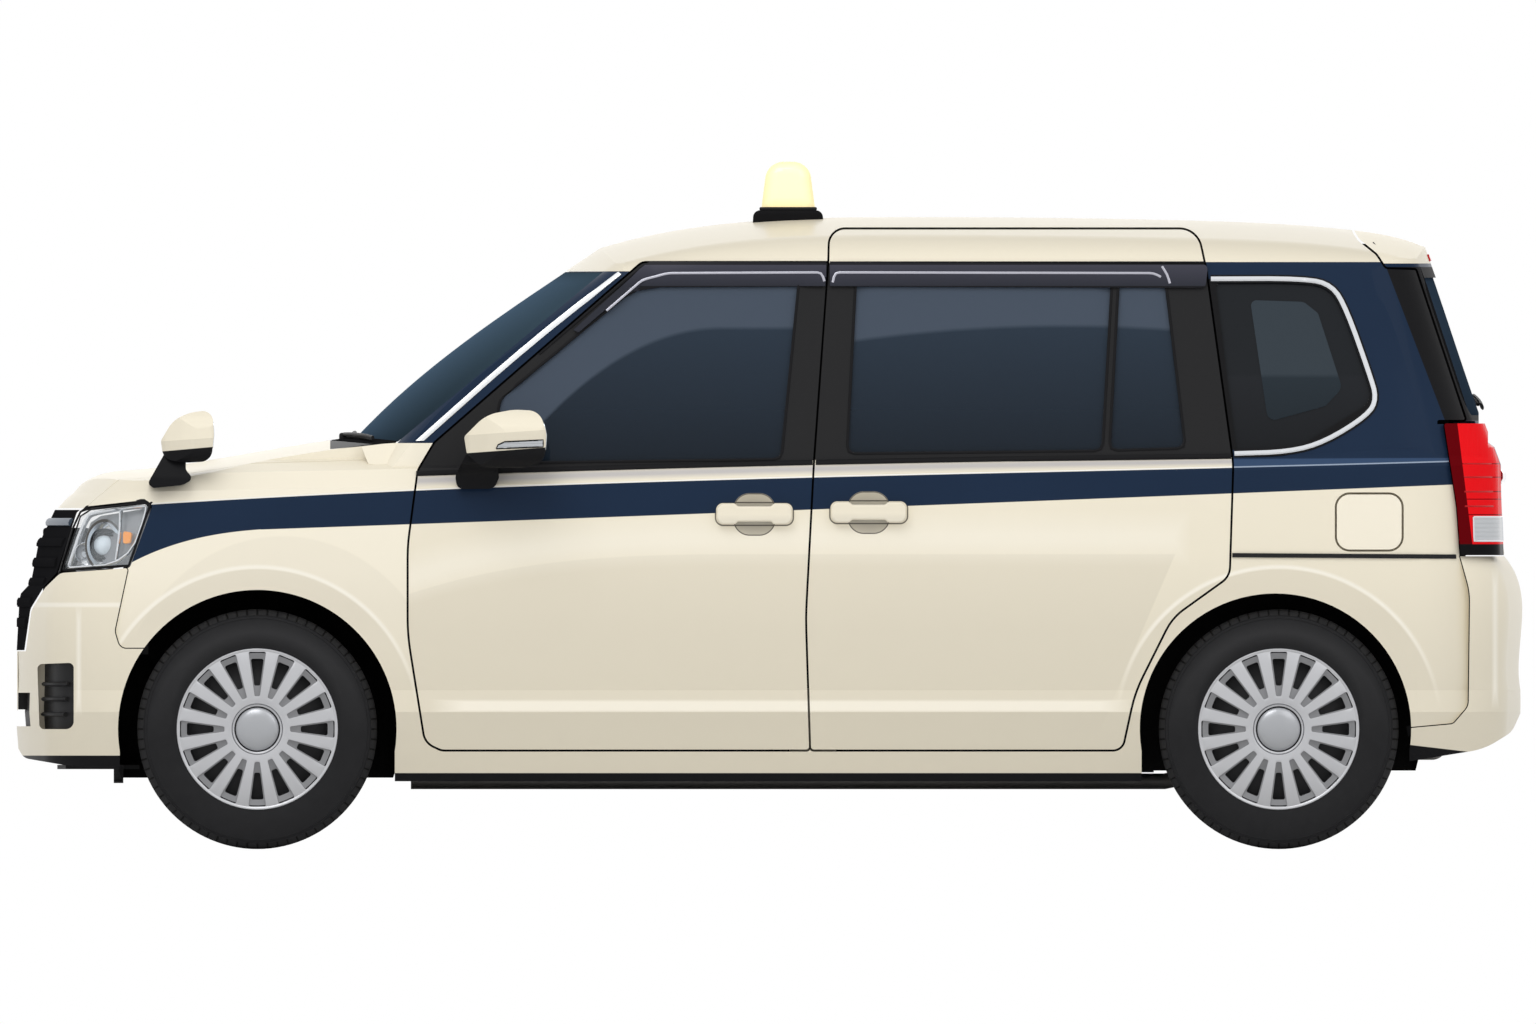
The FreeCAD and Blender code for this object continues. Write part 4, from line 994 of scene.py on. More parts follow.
@dataclass(frozen=True)
class Cloth(Finish):
    """Woven seat cloth."""

    colour: Colour = (0.035, 0.037, 0.043)
    threads: float = 520.0

    def dress(self, board: Board) -> None:
        """Weaves warp and weft, with a heathered colour.

        Args:
            board: the shader board.
        """
        warp = ((board.x + board.z) * self.threads).maths("SINE")
        weft = (board.y * (self.threads * 1.3)).maths("SINE")
        weave = warp * weft * 0.5 + 0.5
        heather = board.noise(160.0, 3.0)
        board.set(
            base_color=board.varied(heather * 0.5 + weave * 0.3, self.colour, 2.1),
            roughness=0.88,
            sheen_weight=0.25,
            sheen_roughness=0.5,
        )
        board.bumped(weave + heather * 0.4, 0.0004, 0.6)


def silver(name: str, colour: Colour, rough: float, metallic: float, **rest: float) -> Metal:
    """A bright metal on the silver slot."""
    return Metal(name, Slot.SILVER, colour, rough, metallic, **rest)


def steel(name: str, colour: Colour, rough: float, metallic: float) -> Metal:
    """A dull metal under the cab."""
    return Metal(name, Slot.STEEL, colour, rough, metallic, wear=0.2)


def painted(zone: Zone) -> Paint:
    """The paint of one kind of panel."""
    index = 1.06 if zone is Zone.TAILGATE else 1.15
    return Paint(f"paint_{zone.value}", Slot.PAINT, zone, index=index)


def pane(name: str, *settings: Colour | float) -> Glazing:
    """A window glass; its settings are those of Glazing."""
    return Glazing(name, Slot.GLASS, *settings)


INK: Colour = (0.010, 0.010, 0.011)
SCREEN = (0.70, 1.1, 0.0)
CHROME = silver("chrome", (0.72, 0.74, 0.77), 0.08, 1.0, wear=0.03)
DARK_CHROME = silver("smoked_chrome", (0.075, 0.105, 0.145), 0.35, 0.35)
WHEEL_SILVER = silver("wheel_silver_paint", (0.52, 0.525, 0.545), 0.30, 0.80, sunk=0.8012)
HUB_METAL = silver("hub_cap_metal", (0.40, 0.41, 0.43), 0.30, 0.8, coat=0.2, wear=0.04)
MIRROR_GLASS = silver("mirror_glass", (0.66, 0.70, 0.74), 0.02, 1.0, wear=0.02)
WHITE_STRIP = silver("bright_strip", (0.86, 0.88, 0.90), 0.25, 0.35, coat=0.5, wear=0.02)
STEEL = steel("chassis_steel", (0.045, 0.045, 0.048), 0.55, 0.5)
EXHAUST_STEEL = steel("exhaust_steel", (0.25, 0.24, 0.23), 0.45, 0.9)
IRON = steel("brake_iron", (0.12, 0.115, 0.11), 0.42, 0.8)
# A pale strip on a visor, as a painted highlight along its crease.
VISOR_HIGHLIGHT = Metal("visor_highlight", Slot.BLACK, (0.42, 0.42, 0.48), 0.22, 0.3, wear=0.02)
LAMP_HOUSING = Metal("lamp_housing", Slot.CLEAR, (0.34, 0.35, 0.37), 0.25, 0.7, wear=0.3)
TRIM = Plastic("black_trim_plastic", Slot.BLACK, (0.018, 0.018, 0.019), 0.46)
SEAL = Plastic("rubber_seal", Slot.BLACK, INK, 0.62, 1400.0, 0.00005)
GLOSS_BLACK = Plastic("gloss_black", Slot.BLACK, INK, 0.2, 300.0, 0.00001, 0.0)
LINER = Plastic("wheelhouse_liner", Slot.BLACK, (0.006, 0.006, 0.006), 0.9, 260.0, 0.0008)
CABIN = Plastic("cabin_plastic", Slot.CABIN, (0.055, 0.055, 0.058), 0.6)
SMOKED = Smoked("smoked_visor", Slot.BLACK)
SEAT_CLOTH = Cloth("seat_cloth", Slot.SEAT)
SIDE_GLASS = Glazing("tinted_glass", Slot.GLASS)
SCREEN_GLASS = pane("screen_glass", (0.016, 0.027, 0.037), 0.96, (0.068, 0.115, 0.175), *SCREEN)
REAR_GLASS = pane("rear_glass", (0.012, 0.020, 0.032), 0.96, (0.024, 0.040, 0.062), *SCREEN)
FRITTED_GLASS = pane("fritted_glass", (0.008, 0.009, 0.011), 1.0, (0.012, 0.014, 0.017))
QUARTER_GLASS = pane("quarter_pane", (0.010, 0.015, 0.020), 1.0, (0.034, 0.046, 0.058))
CLEAR_LENS = Lens("clear_lens", Slot.CLEAR, (0.80, 0.86, 0.90), 0.10)
RED_LENS = Lens("red_lens", Slot.RED, (0.46, 0.005, 0.008), 1.0, 0.2, 0.06)
AMBER_LENS = Lens("amber_lens", Slot.RED, (0.95, 0.33, 0.02), 1.0, 0.15, 0.1)
PALE_LENS = Lens("pale_lens", Slot.CLEAR, (0.56, 0.58, 0.60), 1.0, 0.08, 0.0, 0.012)
REPEATER = Lens("repeater_lens", Slot.CLEAR, (0.46, 0.48, 0.50), 1.0, 0.08, 0.0, 0.008)
PROJECTOR_GLASS = Lens("projector_glass", Slot.CLEAR, (0.70, 0.78, 0.84), 1.0, 0.03, 0.12)
TAIL_LENS = TailLens("tail_lens", Slot.RED)
DOME_GLOW = Dome("lit_dome", Slot.DOME)
TYRE = Rubber("tyre_rubber", Slot.TYRE)
BLANK_PLATE = Plate("blank_plate", Slot.PLATE)


# ------------------------------------------------------------------ modelling


UP = Vector((0.0, 0.0, 1.0))
FACE_LEFT = Vector((0.0, 1.0, 0.0))
FACE_FRONT = Vector((1.0, 0.0, 0.0))
CORNER_PIVOT: Pair = (-1.80, 0.45)
CORNER_REACH = 0.30
MERGE = 1e-6


class Shell:
    """The outside of some CAD nodes, which trim is laid on."""

    def __init__(self, nodes: dict[str, bpy.types.Object], names: Iterable[str]) -> None:
        """Gathers the named nodes' triangles.

        Args:
            nodes: the CAD nodes by name.
            names: the names of those wanted.
        """
        points: list[Vector] = []
        faces: list[tuple[int, ...]] = []
        for name in names:
            mesh = nodes[name].data
            start = len(points)
            points.extend(vertex.co.copy() for vertex in mesh.vertices)
            for polygon in mesh.polygons:
                faces.append(tuple(start + index for index in polygon.vertices))
        self.tree = BVHTree.FromPolygons(points, faces)

    def hit(self, start: Vector, way: Vector, missed: Vector) -> Spot:
        """What a ray meets.

        Args:
            start: where it starts.
            way: where it goes.
            missed: the point given if it meets nothing.

        Returns:
            The point and the outward direction there.
        """
        point, normal, _, _ = self.tree.ray_cast(start, way)
        return (missed, -way) if point is None else (point, normal.normalized())

    def side(self, x: float, z: float) -> Spot:
        """Finds the body's outermost point on the left, at a place seen from the side.

        Args:
            x: how far forward.
            z: how high.

        Returns:
            The point and the outward direction there.
        """
        for drop in (0.0, 0.006, -0.006, 0.012, -0.012, 0.03, -0.03):
            for slip in (0.0, 0.01, -0.01):
                start = Vector((x + slip, 1.3, z + drop))
                point, normal = self.hit(start, -FACE_LEFT, Vector())
                if normal.y > 0.05 and point.y > 0.2:
                    return Vector((x, point.y, z)), normal
        return Vector((x, 0.8, z)), FACE_LEFT

    def behind(self, depth: float) -> Place:
        """Places straight in behind the left side, by a depth."""
        return lambda x, z: (self.side(x, z)[0] - FACE_LEFT * depth, FACE_LEFT)

    def end(self, y: float, z: float, way: float) -> Spot:
        """The body's outermost point seen from the front (way 1) or the back (way -1)."""
        return self.hit(Vector((way * 2.6, y, z)), -FACE_FRONT * way, Vector((way * 2.0, y, z)))

    def spread(self, level: float, step: float = 0.01) -> float:
        """Measures how far out from the middle the nose still has this shell.

        Args:
            level: the height.
            step: how finely it is measured.

        Returns:
            The distance.
        """
        y = 0.0
        while self.tree.ray_cast(Vector((2.6, y + step, level)), -FACE_FRONT)[0] is not None:
            y += step
        return y

    def corner(self, bend: float, z: float) -> Spot:
        """Finds the body's outermost point round its rear left corner.

        Args:
            bend: how far round the corner, in metres from the side.
            z: how high.

        Returns:
            The point and the outward direction there.
        """
        turn = bend / CORNER_REACH
        way = Vector((-math.sin(turn), math.cos(turn), 0.0))
        pivot = Vector((*CORNER_PIVOT, z))
        return self.hit(pivot + way, -way, pivot + way * CORNER_REACH)

    def top(self, x: float, y: float) -> Spot:
        """The body's highest point at a place seen from above, and its direction."""
        return self.hit(Vector((x, y, 2.4)), -UP, Vector((x, y, 1.0)))

    def crossing(self, way: float, first: Pair, last: Pair, count: int, lift: float) -> list[Spot]:
        """Stations straight across the nose or the tail.

        Args:
            way: 1 for the nose, -1 for the tail.
            first: y and z of the first station.
            last: y and z of the last one.
            count: how many steps lie between them.
            lift: how far they stand off the body.

        Returns:
            A point and the outward direction for each station.
        """
        start, stop = Vector(first), Vector(last)
        points = [start.lerp(stop, number / count) for number in range(count + 1)]
        return laid([tuple(point) for point in points], lambda y, z: self.end(y, z, way), lift)


class Piece:
    """A mesh being modelled, which becomes an object with a finish and a body to ride on."""

    room: Spot | None = None

    def __init__(self, name: str) -> None:
        """Starts an empty mesh."""
        self.name = name
        self.bm = bmesh.new()

    def everything(self) -> list:
        """All vertices, edges and faces so far."""
        return self.bm.verts[:] + self.bm.edges[:] + self.bm.faces[:]

    def box(self, low: Triple, high: Triple, bevel: float, segments: int = 2) -> "Piece":
        """Adds a box between two corners, with its edges eased.

        Args:
            low: the lowest corner.
            high: the highest corner.
            bevel: how much its edges are eased.
            segments: how many faces round each edge.

        Returns:
            The piece.
        """
        middle = (Vector(low) + Vector(high)) / 2.0
        spread = Vector(high) - Vector(low)
        matrix = Matrix.Translation(middle) @ Matrix.Diagonal((*spread, 1.0))
        made = bmesh.ops.create_cube(self.bm, size=1.0, matrix=matrix)
        edges = list({edge for vertex in made["verts"] for edge in vertex.link_edges})
        self.bevel(edges, "EDGES", "OFFSET", bevel, segments, True)
        return self

    def bevel(
        self, items: list, affect: str, kind: str, offset: float, segments: int, clamp: bool
    ) -> None:
        """Eases edges or corners.

        Args:
            items: the edges or vertices.
            affect: EDGES or VERTICES.
            kind: how the offset is measured.
            offset: how much is eased.
            segments: how many faces go round.
            clamp: whether neighbours limit each other.
        """
        bmesh.ops.bevel(
            self.bm,
            geom=items,
            offset=offset,
            offset_type=kind,
            affect=affect,
            segments=segments,
            profile=0.5,
            material=-1,
            clamp_overlap=clamp,
        )

    def outline(self, rows: Sequence[Triple], station: float = 0.0) -> list:
        """Adds one flat face in the side view, with rounded corners.

        Args:
            rows: x, z and corner radius of each corner.
            station: the y of the face.

        Returns:
            The face, in a list.
        """
        corners = [self.bm.verts.new((x, station, z)) for x, z, _ in rows]
        self.bm.faces.new(corners)
        for corner, (_, _, radius) in zip(corners, rows):
            if radius > 0.0:
                ends = (edge.other_vert(corner) for edge in corner.link_edges)
                first, second = (end.co - corner.co for end in ends)
                reach = radius / max(math.tan(first.angle(second) / 2.0), 0.05)
                reach = min(reach, first.length * 0.49, second.length * 0.49)
                self.bevel([corner], "VERTICES", "WIDTH", reach, 6, False)
        faces = self.bm.faces
        return [face for face in faces if abs(face.calc_center_median().y - station) < MERGE]

    def slab(self, rows: Sequence[Triple], start: float, stop: float) -> "Piece":
        """Adds a side-view outline carried from one y to another.

        Args:
            rows: x, z and corner radius of each corner.
            start: the first y.
            stop: the last y.

        Returns:
            The piece.
        """
        made = bmesh.ops.extrude_face_region(self.bm, geom=self.outline(rows, start))
        moved = [item for item in made["geom"] if isinstance(item, bmesh.types.BMVert)]
        bmesh.ops.translate(self.bm, vec=(0.0, stop - start, 0.0), verts=moved)
        return self

    def drape(
        self, rows: Sequence[Triple], place: Place, lift: float, thick: float, cell: float
    ) -> "Piece":
        """Adds an outline laid on the body as a skin.

        Args:
            rows: the two coordinates and the corner radius of each corner.
            place: where a pair of coordinates lies on the body.
            lift: how far its back stands off the body.
            thick: its thickness.
            cell: the size of the squares it is divided into.

        Returns:
            The piece.
        """
        self.outline(rows)
        for axis, normal in ((0, FACE_FRONT), (2, UP)):
            values = [vertex.co[axis] for vertex in self.bm.verts]
            cut = math.ceil(min(values) / cell) * cell
            while cut < max(values):
                self.cut(normal * cut, normal, dist=1e-5)
                cut += cell
        flat = {vertex: (vertex.co.x, vertex.co.z) for vertex in self.bm.verts}
        made = bmesh.ops.extrude_face_region(self.bm, geom=self.bm.faces[:])
        moved = {item for item in made["geom"] if isinstance(item, bmesh.types.BMVert)}
        for vertex in self.bm.verts:
            point, normal = place(*flat.get(vertex, (vertex.co.x, vertex.co.z)))
            vertex.co = point + normal * (lift + (thick if vertex in moved else 0.0))
        return self

    def sweep(
        self,
        stations: Sequence[Spot],
        wide: float,
        high: float,
        sides: int = 8,
        taper: Callable[[float], float] = lambda share: 1.0,
    ) -> "Piece":
        """Adds a moulding carried along stations.

        Args:
            stations: a point and an outward direction each.
            wide: the moulding's width along the surface.
            high: its height off the surface.
            sides: how many faces its section has; 4 makes a flat bar.
            taper: a factor on its width by the share of its length.

        Returns:
            The piece.
        """
        rings = []
        last = len(stations) - 1
        grow = 1.0 / math.cos(math.pi / sides)
        turn = Matrix.Rotation(math.pi / sides, 4, "Z")
        for number, (point, outward) in enumerate(stations):
            before, after = stations[max(number - 1, 0)][0], stations[min(number + 1, last)][0]
            along = (after - before).normalized()
            across = along.cross(outward).normalized()
            basis = Matrix((across, across.cross(along).normalized(), along)).transposed().to_4x4()
            width = wide / 2.0 * taper(number / last) * grow
            shape = Matrix.Diagonal((width, high / 2.0 * grow, 1.0, 1.0)) @ turn
            matrix = Matrix.Translation(point) @ basis @ shape
            ring = bmesh.ops.create_circle(
                self.bm, cap_ends=number in (0, last), segments=sides, radius=1.0, matrix=matrix
            )["verts"]
            edges = {edge for vertex in ring for edge in vertex.link_edges}
            rings.append([edge for edge in edges if all(vertex in ring for vertex in edge.verts)])
        for first, second in zip(rings[:-1], rings[1:]):
            bmesh.ops.bridge_loops(self.bm, edges=first + second)
        return self

    def lathe(
        self, centre: Vector, profile: Sequence[Pair], steps: int, squash: Triple | None = None
    ) -> "Piece":
        """Adds a turned shape about the y axis.

        Args:
            centre: a point on the axis.
            profile: radius and y of each point, y counted from the centre.
            steps: how many faces go round.
            squash: factors on its three axes.

        Returns:
            The piece.
        """
        places = [centre + Vector((0.0, across, radius)) for radius, across in profile]
        points = [self.bm.verts.new(place) for place in places]
        edges = [self.bm.edges.new(pair) for pair in zip(points, points[1:] + points[:1])]
        self.spin(points + edges, centre, 2.0 * math.pi, steps, use_merge=True)
        if squash:
            space = Matrix.Translation(-centre)
            bmesh.ops.scale(self.bm, vec=squash, space=space, verts=self.bm.verts)
        return self

    def spin(self, items: list, centre: Vector, angle: float, steps: int, **options: bool) -> None:
        """Turns items about the y axis through a centre; see bmesh.ops.spin."""
        turn = {"cent": centre, "axis": FACE_LEFT, "angle": angle, "steps": steps}
        bmesh.ops.spin(self.bm, geom=items, **turn, **options)

    def cut(self, point: Vector, normal: Vector, **options: float | bool) -> None:
        """Cuts everything along a plane; see bmesh.ops.bisect_plane."""
        plane = {"plane_co": point, "plane_no": normal}
        bmesh.ops.bisect_plane(self.bm, geom=self.everything(), **plane, **options)

    def trimmed(self, level: float) -> "Piece":
        """Cuts away what is below a level and closes the cut.

        Args:
            level: the height.

        Returns:
            The piece.
        """
        self.cut(UP * level, -UP, clear_outer=True)
        rims = [edge for edge in self.bm.edges if edge.is_boundary]
        bmesh.ops.holes_fill(self.bm, edges=rims, sides=0)
        return self

    def flip(self) -> "Piece":
        """Turns the piece into its right-hand twin.

        Returns:
            The piece.
        """
        bmesh.ops.scale(self.bm, vec=(1.0, -1.0, 1.0), verts=self.bm.verts)
        bmesh.ops.reverse_faces(self.bm, faces=self.bm.faces)
        return self

    def kept_inside(self) -> None:
        """Presses whatever would stand out of the cab's own box back to its faces."""
        low, high = Piece.room
        for vertex in self.bm.verts:
            for axis in range(3):
                vertex.co[axis] = min(max(vertex.co[axis], low[axis]), high[axis])

    def joined(self) -> None:
        """Merges points that coincide and turns every face outwards."""
        bmesh.ops.remove_doubles(self.bm, verts=self.bm.verts, dist=MERGE)
        bmesh.ops.recalc_face_normals(self.bm, faces=self.bm.faces)

    def linked(self) -> bpy.types.Object:
        """Turns the mesh into an object in the scene, without a finish.

        Returns:
            The object.
        """
        mesh = bpy.data.meshes.new(self.name)
        self.bm.to_mesh(mesh)
        self.bm.free()
        made = bpy.data.objects.new(self.name, mesh)
        bpy.context.scene.collection.objects.link(made)
        return made

    def made(self, body: str, finish: Finish, crease: float = 35.0) -> bpy.types.Object:
        """Turns the mesh into a finished object.

        Args:
            body: the CAD body it rides on.
            finish: its finish.
            crease: edges sharper than this, in degrees, stay sharp.

        Returns:
            The object.
        """
        self.kept_inside()
        self.joined()
        made = self.linked()
        made.data.shade_smooth()
        made.data.set_sharp_from_angle(angle=math.radians(crease))
        made.data.materials.append(finish.material())
        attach(made, body)
        LOG.info("%s rides on %s with %d faces", self.name, body, len(made.data.polygons))
        return made


def eased(points: Sequence[Pair], radius: float, closed: bool = False) -> list[Pair]:
    """Rounds the corners of a path.

    Args:
        points: x and z of each corner.
        radius: how far from a corner its curve starts.
        closed: whether the path returns to its start.

    Returns:
        x and z of each point.
    """
    rows = [Vector(point) for point in points]
    count = len(rows)
    path = [] if closed else [rows[0]]
    for index in range(0 if closed else 1, count if closed else count - 1):
        corner = rows[index]
        start = corner + (rows[index - 1] - corner).normalized() * radius
        end = corner + (rows[(index + 1) % count] - corner).normalized() * radius
        path.extend((start, start * 0.25 + corner * 0.5 + end * 0.25, end))
    path.append(path[0] if closed else rows[-1])
    return [(point.x, point.y) for point in path]


def spaced(points: Sequence[Pair], step: float, smooth: int) -> list[Pair]:
    """Divides a path of straight runs into short steps, with its corners softened.

    Args:
        points: x and z of each corner.
        step: the longest step.
        smooth: how many times the corners are softened.

    Returns:
        x and z of each station.
    """
    rows = [Vector((*point, 0.0)) for point in points]
    for _ in range(smooth):
        runs = list(zip(rows, rows[1:]))
        cuts = [first.lerp(second, share) for first, second in runs for share in (0.25, 0.75)]
        rows = [rows[0], *cuts, rows[-1]]
    stations = [rows[0]]
    for first, second in zip(rows, rows[1:]):
        parts = max(1, math.ceil((second - first).length / step))
        stations.extend(first.lerp(second, number / parts) for number in range(1, parts + 1))
    return [(point.x, point.y) for point in stations]


def laid(points: Sequence[Pair], place: Place, lift: float) -> list[Spot]:
    """Lays a path on the body.

    Args:
        points: the two coordinates of each station.
        place: where a pair of coordinates lies on the body.
        lift: how far it stands off the body.

    Returns:
        A point and the outward direction for each station.
    """
    spots = [place(*point) for point in points]
    return [(point + normal * lift, normal) for point, normal in spots]


def closed(points: Sequence[Sequence[float]]) -> Path:
    """The first two coordinates of some corners, back to the first one."""
    return tuple((point[0], point[1]) for point in (*points, points[0]))


@dataclass(frozen=True)
class Trim:
    """A left-hand piece of trim and its right-hand twin."""

    name: str
    finish: Finish

    def shaped(self, piece: Piece, place: Place) -> Piece:
        """Models the left-hand one on the body."""
        raise NotImplementedError

    def lay(self, place: Place, bodies: tuple[str, str] = CAB) -> list[bpy.types.Object]:
        """Makes both.

        Args:
            place: where a pair of coordinates lies on the body.
            bodies: the bodies that the left and right ones ride on.

        Returns:
            The left one and the right one.
        """
        left = self.shaped(Piece(f"{self.name}_left"), place)
        right = self.shaped(Piece(f"{self.name}_right"), place).flip()
        return [left.made(bodies[0], self.finish), right.made(bodies[1], self.finish)]


@dataclass(frozen=True)
class Skin(Trim):
    """An outline laid on the body; its rows and measures are those of Piece.drape."""

    rows: Rows
    lift: float
    thick: float
    cell: float = 0.02

    def shaped(self, piece: Piece, place: Place) -> Piece:
        """Drapes the outline."""
        return piece.drape(self.rows, place, self.lift, self.thick, self.cell)


@dataclass(frozen=True)
class Strip(Trim):
    """A moulding along a path on the body; see Piece.sweep, spaced and laid for its measures."""

    path: Path
    wide: float
    high: float
    lift: float = 0.0
    step: float = 0.05
    smooth: int = 0
    sides: int = 8
    foot: float = 0.0

    def shaped(self, piece: Piece, place: Place) -> Piece:
        """Carries the moulding along the path and cuts it level at its foot.

        Args:
            piece: the piece to model in.
            place: where a pair of coordinates lies on the body.

        Returns:
            The piece.
        """
        stations = laid(spaced(self.path, self.step, self.smooth), place, self.lift)
        piece.sweep(stations, self.wide, self.high, self.sides)
        return piece.trimmed(self.foot) if self.foot > 0.0 else piece


@dataclass(frozen=True)
class Turned(Trim):
    """A shape turned about a point on the body; its measures are those of Piece.lathe."""

    centre: Pair
    steps: int
    profile: Path
    squash: Triple | None = None

    def shaped(self, piece: Piece, place: Place) -> Piece:
        """Turns the profile."""
        return piece.lathe(place(*self.centre)[0], self.profile, self.steps, self.squash)


@dataclass(frozen=True)
class Bundle(Trim):
    """Several strips as one piece."""

    strips: tuple[Strip, ...]

    def shaped(self, piece: Piece, place: Place) -> Piece:
        """Carries each strip along its path.

        Args:
            piece: the piece to model in.
            place: where a pair of coordinates lies on the body.

        Returns:
            The piece.
        """
        for strip in self.strips:
            strip.shaped(piece, place)
        return piece


def boxed(
    name: str, low: Triple, high: Triple, finish: Finish, bevel: float, segments: int = 2
) -> None:
    """Adds a box that rides on the body; see Piece.box."""
    Piece(name).box(low, high, bevel, segments).made("body", finish)


# ------------------------------------------------------------------ the cab's sub-assemblies


@dataclass
class Bodywork:
    """Painted panels, glass and the mouldings laid on them."""

    nodes: dict[str, bpy.types.Object]
    shell: Shell
    livery: Livery = Livery()
    belt_height: float = 0.015
    front_belt: tuple[float, ...] = (0.985, 0.6, 0.2, -0.125)
    rear_belt: tuple[float, ...] = (-0.134, -0.6, -1.0, -1.297)
    slide_rail: Path = ((-1.30, 0.823), (-1.925, 0.819))
    screen_edge: Path = (
        (0.990, 1.130), (0.88, 1.228), (0.74, 1.352), (0.58, 1.485), (0.415, 1.612),
    )
    strip_foot: float = 1.1435
    cap: Rows = (
        (1.140, 1.130, 0.004), (1.020, 1.1385, 0.004), (0.990, 1.1385, 0.004),
        (1.045, 1.077, 0.006), (1.118, 1.077, 0.006),
    )
    hidden: tuple[tuple[str, Triple, Triple], ...] = (
        ("roof_bow_front", (-0.195, -0.30, 1.655), (-0.145, 0.30, 1.728)),
        ("roof_bow_rear", (-1.230, -0.30, 1.655), (-1.185, 0.30, 1.722)),
        ("roof_bow_tail", (-1.720, -0.30, 1.658), (-1.655, 0.30, 1.695)),
        ("hood_lock_stay", (1.900, -0.03, 0.580), (2.030, 0.03, 0.900)),
        ("pillar_block_left", (-1.905, 0.600, 1.184), (-1.860, 0.680, 1.210)),
        ("pillar_block_right", (-1.905, -0.680, 1.184), (-1.860, -0.600, 1.210)),
    )

    FINISHES = (
        (painted(Zone.SIDE), "body_side_left body_side_right"),
        (painted(Zone.ROOF), "roof_panel"),
        (painted(Zone.PLAIN), "hood fuel_flap"),
        (painted(Zone.FENDER), "fender_left fender_right"),
        (painted(Zone.FRONT_BUMPER), "front_bumper"),
        (painted(Zone.REAR_BUMPER), "rear_bumper"),
        (painted(Zone.DOOR), "door_front_left door_front_right"),
        (painted(Zone.SLIDER), "sliding_doors"),
        (painted(Zone.TAILGATE), "tailgate"),
        (painted(Zone.MIRROR), "door_mirror_left door_mirror_right"),
        (painted(Zone.WING_MIRROR), "fender_mirrors"),
        (LINER, "floor_pan"),
        (GLOSS_BLACK, "cowl grille roof_lamp_base"),
        (TRIM, "bumper_inserts nose_tray"),
        (SCREEN_GLASS, "windscreen"),
        (REAR_GLASS, "tailgate_glass"),
        (SIDE_GLASS, "glass_front_left glass_front_right sliding_door_glass"),
        (FRITTED_GLASS, "quarter_glass"),
        (TAIL_LENS, "tail_lamps"),
        (DOME_GLOW, "roof_lamp_dome"),
        (BLANK_PLATE, "plate_front plate_rear"),
        (STEEL, "knuckle_left knuckle_right rear_axle front_subframe engine_block"),
        (EXHAUST_STEEL, "exhaust"),
        (CABIN, "dashboard steering_wheel"),
    )

    def dress(self) -> None:
        """Gives each carried-over CAD node its finish."""
        for finish, names in self.FINISHES:
            for name in names.split():
                mesh = self.nodes[name].data
                mesh.materials.clear()
                mesh.materials.append(finish.material())

    def belt_path(self, places: Sequence[float]) -> Path:
        """Finds the middle of a weatherstrip along the doors' belt line.

        Args:
            places: how far forward each point is.

        Returns:
            The path.
        """
        drop = self.belt_height / 2.0
        square, slope, level = self.livery.belt
        return tuple((x, square * x * x + slope * x + level - drop) for x in places)

    def build(self) -> None:
        """Lays the mouldings."""
        side = self.shell.side
        belt = (self.belt_height, 0.009, 0.002, 0.06, 1)
        Strip("belt_strip_front", SEAL, self.belt_path(self.front_belt), *belt).lay(side, DOORS)
        Strip("belt_strip_rear", SEAL, self.belt_path(self.rear_belt), *belt).lay(side)
        Strip("slide_rail", TRIM, self.slide_rail, 0.012, 0.006, 0.0015, 0.06, sides=4).lay(side)
        edge = (self.screen_edge, 0.0155, 0.006, 0.001, 0.09, 1)
        Strip("screen_pillar_strip", WHITE_STRIP, *edge, foot=self.strip_foot).lay(side)

        def sloped(x: float, z: float) -> Spot:
            """Finds a place on the sloping top of a fender beside the cowl.

            Args:
                x: how far forward.
                z: how high.

            Returns:
                The point and the outward direction there.
            """
            return Vector((x, 0.742 - (z - 1.077) * 0.645, z)), Vector((0.0, 0.84, 0.54))

        Skin("fender_cap", painted(Zone.FENDER), self.cap, -0.004, 0.005, 0.03).lay(sloped)
        low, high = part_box("plate_front")
        back = (low.x - 0.034, low.y + 0.004, low.z + 0.002)
        boxed("plate_backing", back, (low.x - 0.0004, high.y - 0.004, high.z - 0.002), TRIM, 0.002)
        for name, low, high in self.hidden:
            boxed(name, low, high, LINER, 0.008)


